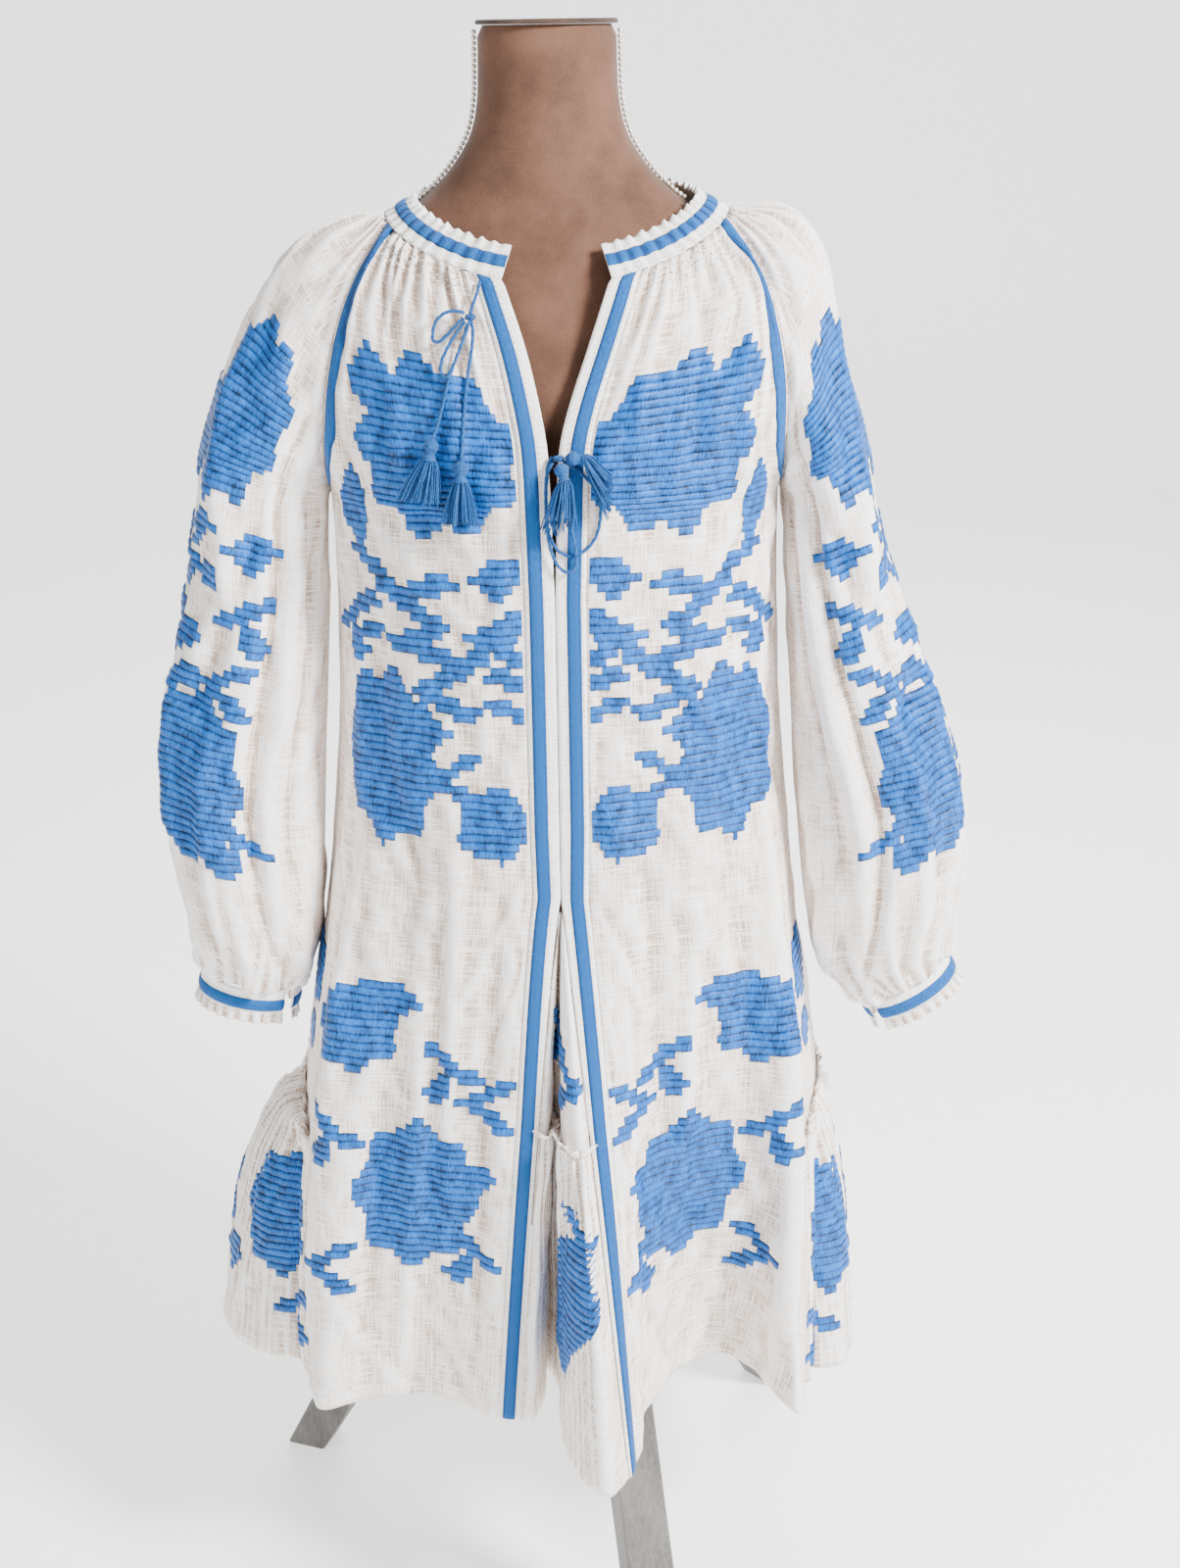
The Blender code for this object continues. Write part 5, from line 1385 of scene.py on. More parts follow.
def charted(text: str) -> tuple[Rosette | Sprig, ...]:
    """Motifs written in millimetres, with a slash between them.

    Args:
        text: for each a blossom's measures behind "blossom", or a sprig's corner behind its chart's name and
            perhaps the word "flipped".

    Returns:
        The motifs.
    """
    motifs = []
    for kind, *words in (row.split() for row in text.split("/")):
        if kind == "blossom":
            numbers = [float(word) for word in words]
            motifs.append(Rosette(*(number * MM for number in numbers[:4]), *numbers[4:]))
        else:
            motifs.append(Sprig(float(words[0]) * MM, float(words[1]) * MM, kind, "flipped" in words))
    return tuple(motifs)


@dataclass
class Embroidery:
    """Blue counted satin work on one piece: motifs charted on rows 7 mm high."""

    name: str
    motifs: Sequence[Rosette | Sprig]
    row: float = 0.0070
    step: float = 0.0033
    margin: float = 0.0015

    def build(self, cloth: Cloth, reach_x: float, seed: int) -> None:
        """Works the motifs on a piece.

        Args:
            cloth: the piece, with distances across that the motifs are charted in.
            reach_x: how far across the motifs may go, on both sides of zero.
            seed: the seed of the rows' unevenness.
        """
        sewing = Sewing(self.name + "_embroidery")
        columns = np.arange(-reach_x, reach_x, self.step)
        x = columns + self.step / 2
        for number, y in enumerate(np.arange(self.row, cloth.down[-1] - self.row, self.row)):
            middle = y + self.row / 2
            low, high = cloth.edges(middle)
            low, high = low + self.margin, high - self.margin
            worked = np.any([motif.covers(x, np.full(len(x), middle)) for motif in self.motifs], axis=0)
            worked &= (x > low) & (x < high)
            edges = np.flatnonzero(np.diff(np.concatenate(([0], worked.astype(int), [0]))))
            for k, (start, end) in enumerate(zip(edges[::2], edges[1::2])):
                x0 = max(columns[0] + start * self.step, low)
                x1 = min(columns[0] + end * self.step, high)
                if x1 - x0 > self.step * 0.8:
                    sewing.satin(cloth, x0, x1, y - 0.0003, y + self.row + 0.0005, seed + 97 * number + k)
        sewing.finish("satin")


# Studio


@dataclass
class Studio:
    """The plain pale room, its soft lights and the camera at the photograph's angle."""

    camera_place: tuple[float, float, float] = (0.0199, -1.70, 1.43)
    pitch: float = math.atan(780 / 2100)
    roll: float = math.radians(0.8)
    lens: float = 47.25
    lit_place: tuple[float, float, float] = (0.0, 0.0, 0.85)
    lights: tuple = (
        ("window light", (1.9, -1.4, 2.6), 0.7, 285.0), ("fill light", (-2.4, -2.0, 1.9), 2.2, 40.0),
        ("back light", (0.6, 2.4, 2.6), 2.0, 90.0))

    def build(self) -> None:
        """Makes the camera first, then the room and the lights."""
        self.place_camera()
        world = bpy.data.worlds.new("pale room")
        world.use_nodes = True
        fill(world.node_tree, world.node_tree.nodes["Background"], {0: linear("#ffffff"), 1: 0.45})
        bpy.context.scene.world = world
        self.lay_floor()
        for name, place, size, power in self.lights:
            light = bpy.data.lights.new(name, "AREA")
            light.size, light.energy = size, power
            lamp = placed(name, light)
            lamp.location = place
            lamp.rotation_euler = (Vector(self.lit_place) - lamp.location).to_track_quat("-Z", "Y").to_euler()

    def place_camera(self) -> None:
        """Looks down a little, slightly rolled, with the photograph's field of view."""
        data = bpy.data.cameras.new("camera")
        data.sensor_fit, data.sensor_height, data.lens = "VERTICAL", 36.0, self.lens
        camera = placed("camera", data)
        camera.matrix_world = (Matrix.Translation(self.camera_place) @ Matrix.Rotation(math.pi / 2 - self.pitch, 4, "X")
                               @ Matrix.Rotation(-self.roll, 4, "Z"))
        bpy.context.scene.camera = camera

    def lay_floor(self) -> None:
        """A pale floor that rises into a wall far behind."""
        profile = [(-6.0, 0.0), (3.0, 0.0), (3.9, 0.15), (4.5, 0.8), (4.6, 5.0)]
        points = [(x, y, z) for y, z in profile for x in (-7.0, 7.0)]
        faces = [(2 * k, 2 * k + 1, 2 * k + 3, 2 * k + 2) for k in range(len(profile) - 1)]
        data = bpy.data.meshes.new("floor")
        data.from_pydata(points, [], faces)
        data.shade_smooth()
        material = bpy.data.materials.new("pale studio floor")
        material.use_nodes = True
        fill(material.node_tree, material.node_tree.nodes["Principled BSDF"], {
            "Base Color": linear("#fbfbfa"), "Roughness": 0.9, "Emission Color": linear("#ffffff"),
            "Emission Strength": 0.95})
        data.materials.append(material)
        placed("floor", data)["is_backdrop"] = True


# Ties


@dataclass
class Ties:
    """The neck tie and the front tie: twisted cords, knots and tassels."""

    cord: float = 0.0026
    plies: int = 3
    twist: float = 0.0075
    knots: dict = field(default_factory=lambda: {
        "neck_tie_knot": np.array((-0.0620, -0.1182, 1.2150)),
        "front_tie_knot": np.array((0.0050, -0.1429, 1.1085))})
    # Each cord: its knot, its far end, the pieces on it and the route from the knot; the right tail of the
    # neck tie starts at the collar and runs through the knot
    routes: dict = field(default_factory=lambda: {
        "neck_tie_loop_left": ("neck_tie_knot", "object", "neck_tie_knot_wound", table("""
    -4 -0.4 3.2/ -10 -0.6 4.8/ -18 -0.6 4/ -25.5 -0.5 -1.5/ -29 -0.8 -10/ -29 -1.6 -17/ -25.5 -2.2 -18.5/
    -20 -2.2 -15/ -12 -1.6 -7/ -5.1 0 -0.4""")),
        "neck_tie_loop_low": ("neck_tie_knot", "object", "neck_tie_knot_wound", table("""
    -4.1 -1.2 -3.2/ -10 -4 -10.5/ -17 -7 -21/ -22.5 -8 -32/ -23.5 -9.5 -41/ -19 -11.5 -44/ -14.5 -12 -37/
    -9 -11.5 -25/ -4.5 -9.5 -14/ -1.5 -8 -7/ -0.5 -4.7 -2.2""")),
        "neck_tie_tail_left": ("neck_tie_knot", "knot", "neck_tassel_left_threads", table("""
    -2.1 -0.6 -4.8/ -4 -2 -12/ -8.5 -4.2 -24/ -14.5 -7.2 -38/ -19.5 -10.4 -53/ -23.5 -11 -68/ -27.5 -12.2 -81/
    -31.2 -14.8 -90.5""")),
        "neck_tie_tail_right": ("neck_tie_knot", "knot", "neck_tassel_right_threads", table("""
    8 14.5 25.5/ 6.2 9 19/ 3.5 4 11.5/ 1 1 5.2/ 0.8 0 0/ 1.4 -0.6 -5.1/ 2 -2.5 -12/ 0.5 -4.5 -26/ -2.5 -7.2 -42/
    -5 -11 -60/ -7 -15 -80/ -8.5 -18 -97/ -9.3 -20.7 -106.8""")),
        "front_tie_loop_long": ("front_tie_knot", "object", "front_tie_knot_wound front_tassel_left_threads", table("""
    -4.4 -1 -2.8/ -8.5 -2 -10/ -10.4 -2.4 -22/ -10.6 -2.4 -40/ -10 -2.4 -56/ -7.5 -2.2 -72/ -3 -2 -84/ 3.5 -2 -90.5/
    9.5 -2 -89.5/ 12.5 -2.2 -81/ 11.5 -2.4 -68/ 8.5 -2.4 -52/ 5 -2.6 -36/ 2 -3 -20/ 0.2 -1.6 -5.2""")),
        "front_tie_loop_wide": ("front_tie_knot", "object", "front_tie_knot_wound front_tassel_right_threads", table("""
    -5 3.4 0.6/ -8 2.4 -5/ -9.8 1.4 -14/ -10.4 1.2 -30/ -10.2 1 -48/ -7.5 1 -64/ -1 1 -74.5/ 9 1 -78.5/ 19 1 -74.5/
    27.5 1 -65/ 32 1 -50/ 31.5 1.2 -34/ 26.5 1.6 -22/ 17 2.2 -12/ 8.8 2.8 -6/ 3.6 2.8 -2.6""")),
    })
    # Each tassel: its knot, its top from the knot, the way through its head, the way its fringe falls, spread
    tassels: tuple = (
        ("neck_tassel_left", "neck_tie_knot", (-0.0314, -0.0151, -0.0909), (-0.20, -0.08, -1.0),
         (-0.30, -0.12, -1.0), 0.0100),
        ("neck_tassel_right", "neck_tie_knot", (-0.0094, -0.0209, -0.1072), (-0.05, -0.17, -1.0),
         (-0.06, -0.10, -1.0), 0.0085),
        ("front_tassel_left", "front_tie_knot", (0.0010, -0.0045, -0.0028), (0.25, -0.75, -1.0),
         (-0.14, -0.10, -1.0), 0.0080),
        ("front_tassel_right", "front_tie_knot", (0.0051, -0.0015, 0.0010), (1.00, -0.20, -0.10),
         (0.62, -0.08, -1.0), 0.0095))
    # A tassel's head: the distance down from its top and the radius
    head: Table = table("""
        0 1.3/ 1.2 2.4/ 2.6 4.4/ 4.5 5.6/ 6.5 5.9/ 8.5 5.3/ 10 4.4/ 11 3.6/ 12.5 3.5/
        14 4.2/ 16 5.2/ 17.5 5.6""")
    threads: int = 90
    thread_radius: float = 0.00046
    fall: float = 0.036

    def build(self) -> None:
        """Makes the knots and tassels, then the cords that carry them."""
        for name, centre in self.knots.items():
            self.wind_knot(name, centre)
        for row in self.tassels:
            self.tie_tassel(*row)
        for name, row in self.routes.items():
            self.twist_cord(name, *row)

    def tube(self, line: Array, radius: float | Array, sides: int, pitch: float = 0.0) -> tuple[Array, list]:
        """A tube round a line, with closed ends.

        Args:
            line: the line's points.
            radius: its radius, given once or for each point.
            sides: how many sides it has.
            pitch: how far its plies run in one turn, where its section is twisted plies.

        Returns:
            Its points and faces.
        """
        along = unit(np.gradient(line, axis=0))
        side = np.cross(along[0], UP if abs(along[0][2]) < 0.9 else BACKWARD)
        turns = FULL_TURN * np.arange(sides) / sides
        rings = []
        for place, way, size, mark in zip(line, along, np.broadcast_to(radius, len(line)), distances(line)):
            side = unit(side - way * np.dot(side, way))
            size = size * np.ones((sides, 1))
            if pitch:
                size *= 1 + 0.16 * np.cos(self.plies * turns - FULL_TURN * mark / pitch)[:, None]
            rings.append(place + (side * np.cos(turns)[:, None] + np.cross(way, side) * np.sin(turns)[:, None]) * size)
        last = (len(line) - 1) * sides
        faces = grid_faces(len(line), sides, False, closed=True)
        return np.array(rings), faces + [list(range(sides)), list(range(last, last + sides))[::-1]]

    def twist_cord(self, name: str, knot: str, far_end: str, end_pieces: str, route: Table) -> None:
        """One cord of the ties, twisted from three plies.

        Args:
            name: the cord's name.
            knot: the knot that it runs from or through.
            far_end: what its far end is fixed to; not used.
            end_pieces: the pieces that are tied to it; not used.
            route: the places that it runs through, measured from the knot.
        """
        line = Line(curve_through(self.knots[knot] + np.array(route)))
        path = line.at(np.linspace(0.0, line.length, int(line.length / 0.0009)))
        points, faces = self.tube(path, self.cord / 2, 10, self.twist)
        nodes = (name, "neck_tie_stem") if name == "neck_tie_tail_right" else (name,)
        piece = mesh_object(name + "_cord", points, faces, "cord", nodes)
        declared = line.at(np.linspace(0.0, line.length, max(int(line.length / 0.0033), 4))) + SHIFT

    def wind_knot(self, name: str, centre: Array) -> None:
        """A knot as a small ball of cord wound over itself.

        Args:
            name: the knot's name.
            centre: its middle.
        """
        turns = np.linspace(0.0, FULL_TURN, 130)
        out = 2.6 + np.cos(5 * turns)
        wound = np.stack((np.cos(2 * turns) * out, np.sin(2 * turns) * out, 1.25 * np.sin(5 * turns)), axis=-1)
        points, faces = self.tube(centre + wound * 0.00098, 0.00105, 8)
        mesh_object(name + "_wound", points, faces, "cord", (name,))

    def tie_tassel(self, name: str, knot: str, top: Sequence[float], down: Sequence[float],
                   fall: Sequence[float], spread: float) -> None:
        """A tassel: a wound head with a tied neck, and a fringe of fine threads.

        Args:
            name: the tassel's name.
            knot: the knot that it hangs from.
            top: its top, measured from the knot.
            down: the way through its head.
            fall: the way that its fringe falls.
            spread: how wide the fringe opens.
        """
        start = self.knots[knot] + np.array(top)
        way = unit(np.array(down))
        side = unit(np.cross(way, BACKWARD))
        other = np.cross(way, side)
        downs, radii = np.array(self.head).T
        marks = np.linspace(0.0, downs[-1], 36)
        wound = np.interp(marks, downs, radii) * (1 + 0.045 * np.sin(marks / 0.00055))
        blocks = [self.tube(start + way * marks[:, None], wound, 16)]
        dice = np.random.default_rng(sum(map(ord, name)))
        drop = unit(np.array(fall)) * self.fall
        base = start + way * (downs[-1] - 0.0012)
        steps = np.linspace(0.0, 1.0, 8)[:, None]
        for k in range(self.threads):
            ring = math.sqrt((k + 0.5) / self.threads)
            angle = 2.39996 * k + dice.uniform(-0.2, 0.2)
            out = side * math.cos(angle) + other * math.sin(angle)
            flat = out * np.array((1.0, 0.45, 1.0))
            root = base + out * ring * radii[-1] * 0.86
            wave = np.sin(steps * math.pi * dice.uniform(1.0, 2.0) + dice.uniform(0, 6)) * dice.uniform(0, 0.0007)
            line = (root + drop * steps * dice.uniform(0.90, 1.02) + flat * ring * spread * 1.3 * steps**0.7
                    + np.cross(out, way) * wave)
            blocks.append(self.tube(line, self.thread_radius * dice.uniform(0.8, 1.2), 5))
        mesh_object(name + "_threads", *joined(blocks), "cord", (name,))


# Dress form and stand


@dataclass
class DressForm:
    """The limbless velvet torso, its neck cap and the bead trim down both sides of its neck."""

    columns: int = 96
    rows: int = 84
    inset: float = 0.0008
    cap_low: float = 1.4273
    # The cap: height above its lower face and radius
    cap: Table = table("0 56/0.8 57/2.4 57/3.6 56/4 53.5")
    bead: float = 0.0021
    bead_pitch: float = 0.0043
    # The trim's line: the heights of its two ends and how many places it has
    trim: tuple[float, float, int] = (1.424, 1.292, 60)

    def ring(self, height: float, inset: float, angles: Array) -> Array:
        """Points round the form.

        Args:
            height: their height.
            inset: how far inside the form's skin they lie.
            angles: angles from the front, in radians.

        Returns:
            One point for each angle.
        """
        _, half, front, back = read(FORM_RINGS, height)
        x, y = np.sin(angles), np.cos(angles)
        depth = np.where(y > 0, front, back)
        return np.stack(((half - inset) * np.copysign(np.abs(x)**FORM_SQUARENESS, x),
                         -(depth - inset) * np.copysign(np.abs(y)**FORM_SQUARENESS, y),
                         np.full(len(angles), height)), axis=-1)

    def build(self) -> None:
        """Makes the torso, the cap and the trim."""
        angles = FULL_TURN * np.arange(self.columns) / self.columns
        top, low = FORM_RINGS[0][0], FORM_RINGS[-1][0]
        heights = np.linspace(top, low, self.rows)
        insets = self.inset + 0.004 * np.maximum(0, 1 - (top - heights) / 0.004)**2 + 0.006 * np.maximum(
            0, 1 - (heights - low) / 0.006)**2
        rings = np.array([self.ring(height, inset, angles) for height, inset in zip(heights, insets)])
        self.close("form_torso_velvet", rings, "velvet")
        circle = np.stack((np.sin(angles), -np.cos(angles), np.zeros(self.columns)), axis=-1)
        rings = np.array([circle * radius + UP * (self.cap_low + rise) for rise, radius in self.cap[::-1]])
        self.close("form_neck_cap_suede", rings, "cap")
        for side in Side:
            self.string_beads(side)

    def close(self, name: str, rings: Array, material: str) -> None:
        """A closed body through rings, with a centre point in each flat end.

        Args:
            name: the body's name: its CAD node's with a word behind it.
            rings: its rings, from the top down.
            material: the finish.
        """
        count, columns = rings.shape[:2]
        points = np.concatenate((rings.reshape(-1, 3), rings[0].mean(axis=0)[None], rings[-1].mean(axis=0)[None]))
        faces = grid_faces(count, columns, True, closed=True)
        last = (count - 1) * columns
        for k in range(columns):
            n = (k + 1) % columns
            faces += [[count * columns, k, n], [count * columns + 1, last + n, last + k]]
        piece = mesh_object(name, points, faces, material, (name.rpartition("_")[0],))
        piece.data.set_sharp_from_angle(angle=math.radians(50))

    def string_beads(self, side: Side) -> None:
        """A row of small pearl beads down a side seam of the neck, from the cap to the collar.

        Args:
            side: the side of the neck.
        """
        angle = np.array((side.sign * math.radians(90),))
        line = Line(np.array([self.ring(height, -self.bead, angle)[0] for height in np.linspace(*self.trim)]))
        around = FULL_TURN * np.arange(8) / 8
        ball = np.array([[(math.sin(t) * math.cos(a), math.sin(t) * math.sin(a), math.cos(t)) for a in around]
                         for t in np.linspace(0.0, math.pi, 7)])
        faces = grid_faces(*ball.shape[:2], True, closed=True)
        marks = np.arange(0.002, line.length, self.bead_pitch)
        mesh_object(f"neck_beads_{side.value}", *joined((ball * self.bead + line.at(mark), faces) for mark in marks),
                    "bead")


@dataclass
class Stand:
    """The steel post, and the painted hub and legs with softened edges."""

    bevel: float = 0.0025
    painted: tuple[str, ...] = ("stand_hub", "stand_leg_1", "stand_leg_2", "stand_leg_3")

    def build(self) -> None:
        """Dresses the post and replaces the painted wood by softened copies."""
        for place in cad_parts["stand_post"].material_slots:
            place.link = "OBJECT"
            place.material = finish("steel")
        for name in self.painted:
            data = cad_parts[name].data.copy()
            data.materials.clear()
            data.materials.append(finish("paint"))
            piece = placed(name + "_painted", data)
            weld = piece.modifiers.new("weld", "WELD")
            weld.merge_threshold = 0.00005
            edge = piece.modifiers.new("soft edges", "BEVEL")
            edge.width, edge.segments = self.bevel, 3
            edge.limit_method, edge.angle_limit = "ANGLE", math.radians(40)
            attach(piece, "root")
            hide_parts(name)
            LOG.info("%s", piece.name)


# Panels

# A crease: from x and y to x and y on the cut, half width and height
FRONT_CREASES = {
    Side.LEFT: table("""
    60 20 75 190 8 2.2/ 105 15 140 160 9 -2/ 150 230 60 330 10 1.8/ 40 260 60 420 8 1.4/ 90 520 75 840 12 3/
    130 540 150 960 14 -3.2/ 175 330 190 640 10 2.6/ 50 560 48 990 9 -2/ 110 700 115 1030 10 2.8/
    190 640 215 980 12 3/ 155 420 120 560 8 -1.4/ 80 380 130 470 7 1.2/ 22 520 80 660 6 1/ 12 570 50 690 5 -0.8"""),
    Side.RIGHT: table("""
    52 18 58 150 7 2/ 90 12 112 180 9 -2.2/ 128 30 165 210 9 2.4/ 165 250 120 330 10 -1.6/ 70 510 85 760 11 -2.6/
    115 540 100 820 10 2.4/ 150 520 165 800 12 -2.8/ 185 350 200 720 11 3/ 45 620 40 930 8 1.6/
    205 700 235 1000 13 3.4/ 90 330 140 440 8 1.4/ 60 440 105 520 6 -1/ 20 540 60 650 6 0.9"""),
}
BACK_CREASES = table("""
    -130 30 -160 260 10 2.6/ 90 20 120 300 11 2.4/ -40 100 -60 420 12 -2.4/ 150 260 90 380 10 -1.8/
    -180 420 -200 760 13 3/ 20 380 30 760 12 2.6/ 190 460 230 900 13 -3/ -90 560 -100 980 12 -2.8/
    110 600 130 1000 12 3/ -240 640 -270 1000 14 2.8""")
SLEEVE_CREASES = table("""
    -50 200 -90 400 12 4/ -110 300 -60 480 11 -3.6/ -30 420 -50 680 13 4/ 60 240 90 520 14 4/ -85 500 -75 700 9 3.6/
    20 520 10 700 10 -3.4/ -126 230 -122 660 6.5 -4.6/ -143 250 -138 640 10 3.4/ -168 300 -160 600 7 -2.4/
    -30 455 -85 485 6 -2/ -15 420 -75 440 5 1.6/ 110 380 60 660 12 -3.6""")
# A ribbon on a raglan seam: how far from the seam its two edges lie
RAGLAN_RIBBON = (0.0020, 0.0135)


def level_rows(top: float, bottom: float, step: float) -> Array:
    """Heights from the top of a piece to its bottom."""
    return np.linspace(top, bottom, max(int((top - bottom) / step), 2) + 1)


def lay_tape(name: str, tape: Cloth) -> None:
    """A woven ribbon, sewn down flat."""
    cloth_piece(name, tape, "ribbon", 0.0003)


def edge_stitches(name: str, tape: Cloth, places: Iterable[float]) -> None:
    """Blue lines of stitches down a ribbon.

    Args:
        name: their name.
        tape: the ribbon.
        places: their distances across it.
    """
    sewing = Sewing(name)
    for x in places:
        sewing.running(tape, x, tape.down, width=0.0005, height=0.0004)
    sewing.finish("cord")


def raglan_ribbon(name: str, cloth: Cloth, low: float, high: float) -> None:
    """A woven ribbon down a raglan seam, with a stitch line near both edges.

    Args:
        name: the name of its CAD node.
        cloth: the piece that it lies on, with distances across counted from the seam.
        low: where it starts across the piece.
        high: where it ends.
    """
    tape = cloth.tape_down(low, high)
    lay_tape(name + "_tape", tape)
    edge_stitches(name + "_tape_stitches", tape, (low + (high - low) * share for share in (0.10, 0.90)))


@dataclass
class FrontPanel:
    """One front of the dress: the panel, its placket band, the two ribbons and the embroidery."""

    side: Side
    step: float = 0.0050
    columns: int = 116
    yoke_rows: int = 46
    # How far the doubled band's columns stand out, from the placket edge to its seam
    crown: tuple = (-0.0002, 0.0001, 0.0003, 0.0003, 0.0003, 0.0003, 0.0003, 0.0002, -0.0001)
    motifs: tuple = charted("""
        blossom 90 165 72 82 9 0.16 0.9/ blossom 136 116 24 30 4 0.2/ blossom 178 222 18 40 3 0.2/ bud 18 256/
        vine 78 256/ twig 164 300/ vine 16 318 flipped/ tendril 20 300/ blossom 150 436 51 80 8 0.14 1.6/
        bud 88 396/ tendril 62 424/ blossom 55 488 34 35 5 0.16 3.1/ leaf 108 640/ blossom 176 684 48 37 7 0.16 0.4/
        twig 50 686 flipped/ tendril 20 712/ blossom 108 832 58 74 8 0.14 0.2/ twig 156 756 flipped/
        twig 24 862 flipped/ tendril 160 880/ bud 32 800""")

    def build(self) -> None:
        """Makes the panel, the band, the ribbons and the sewing."""
        name, facing, gap = self.side.value, -self.side.sign, BLOCK.seam_gap
        levels = level_rows(BLOCK.underarm, BLOCK.hem, self.step)[1:]
        folds = BLOCK.of(self.side, "front")
        lines = [BLOCK.yoke_line(self.side, share) for share in np.linspace(0.0, 1.0, self.yoke_rows)]
        lines += [BLOCK.ring_line(folds, level) for level in levels]
        starts = np.array([0.0] * self.yoke_rows + [
            max(BLOCK.placket_offset(self.side, level), gap) if level > BLOCK.godet_top else gap for level in levels])
        bands = np.array([BLOCK.band_places(level) for level in [BLOCK.underarm] * self.yoke_rows + list(levels)])
        _, low, high, seams = bands.T
        panel = Cloth.woven([(line, start + gap, line.length - gap) for line, start in zip(lines, starts + seams)],
                            self.columns, facing).counted_from(starts)
        panel = panel.raised(self.relief(panel))
        cloth_piece(f"front_panel_{name}_cloth", panel)
        band = Cloth.woven(list(zip(lines, starts, starts + seams)), len(self.crown), facing)
        band = band.counted_from(starts).raised(self.crown)
        cloth_piece(f"front_band_{name}_cloth", band, material="doubled", thickness=0.0012)
        tape = band.tape_down(low, high).counted_from(low)
        lay_tape(f"front_ribbon_{name}_tape", tape)
        edge_stitches(f"front_band_{name}_stitches", tape, (0.0012, 0.0103))
        white = Sewing(f"front_band_{name}_topstitch")
        for x in (low - 0.0016, high + 0.0015):
            white.running(band, x, band.down, 0.0030, 0.0016, width=0.0010, height=0.0008)
        white.finish("thread")
        inner, outer = RAGLAN_RIBBON
        yoke = panel.counted_from(panel.last).upper(self.yoke_rows - 1)
        raglan_ribbon(f"raglan_ribbon_front_{name}", yoke, -outer, -inner)
        white = Sewing(f"front_panel_{name}_stitches")
        white.shirr(panel, (0.012, 0.020), (0.0040, 0.0022), 0.0019, 0.0028, 0.0006, 5 + self.side.number)
        white.hem(panel, 60, 0.0005)
        white.finish("thread")
        Embroidery(f"front_panel_{name}", self.motifs).build(panel, 0.27, 1000 + 4000 * self.side.number)

    def relief(self, panel: Cloth) -> Array:
        """The gathers under the collar, the creases, the seam and the turned hem of one front.

        Args:
            panel: the piece.

        Returns:
            How far they move each point.
        """
        seed = 11 + self.side.number
        total = (Gather(9, 0.0064, 0.075, seed).heights(panel) + Gather(26, 0.0022, 0.020, seed + 2).heights(panel)
                 + rumple(panel, 0.0023, 0.042, seed + 10) + creased(panel, FRONT_CREASES[self.side], 1.9))
        seam = 0.0008 * np.exp(-((panel.across - panel.first[:, None]) / 0.0018)**2)
        return total * panel.held(0.05, 0.10) - seam + panel.hem_turn(0.019, 0.0009)


@dataclass
class BackPanel:
    """The plain full back with the raglan ribbons on it."""

    step: float = 0.0060
    columns: int = 132
    yoke_rows: int = 40

    def build(self) -> None:
        """Makes the back and lays its ribbons."""
        lines = [BLOCK.back_yoke_line(share) for share in np.linspace(0.0, 1.0, self.yoke_rows)]
        lines += [BLOCK.ring_line(BLOCK.back, level) for level in level_rows(BLOCK.underarm, BLOCK.hem, self.step)[1:]]
        cloth = Cloth.seamed(lines, self.columns, 1.0).centred
        total = (Gather(18, 0.0066, 0.085, 31).heights(cloth) + Gather(42, 0.0022, 0.020, 33).heights(cloth)
                 + rumple(cloth, 0.0020, 0.05, 32) + creased(cloth, BACK_CREASES))
        cloth = cloth.raised(total * cloth.held(0.05, 0.05) + cloth.hem_turn(0.019, 0.0005))
        cloth_piece("back_panel_cloth", cloth)
        inner, outer = RAGLAN_RIBBON
        for side, seam, low, high in (("left", cloth.first, inner, outer), ("right", cloth.last, -outer, -inner)):
            yoke = cloth.counted_from(seam).upper(self.yoke_rows - 1)
            raglan_ribbon(f"raglan_ribbon_back_{side}", yoke, low, high)
        white = Sewing("back_panel_stitches")
        white.shirr(cloth, (0.020, 0.020))
        white.hem(cloth, 120, 0.0006)
        white.finish("thread")


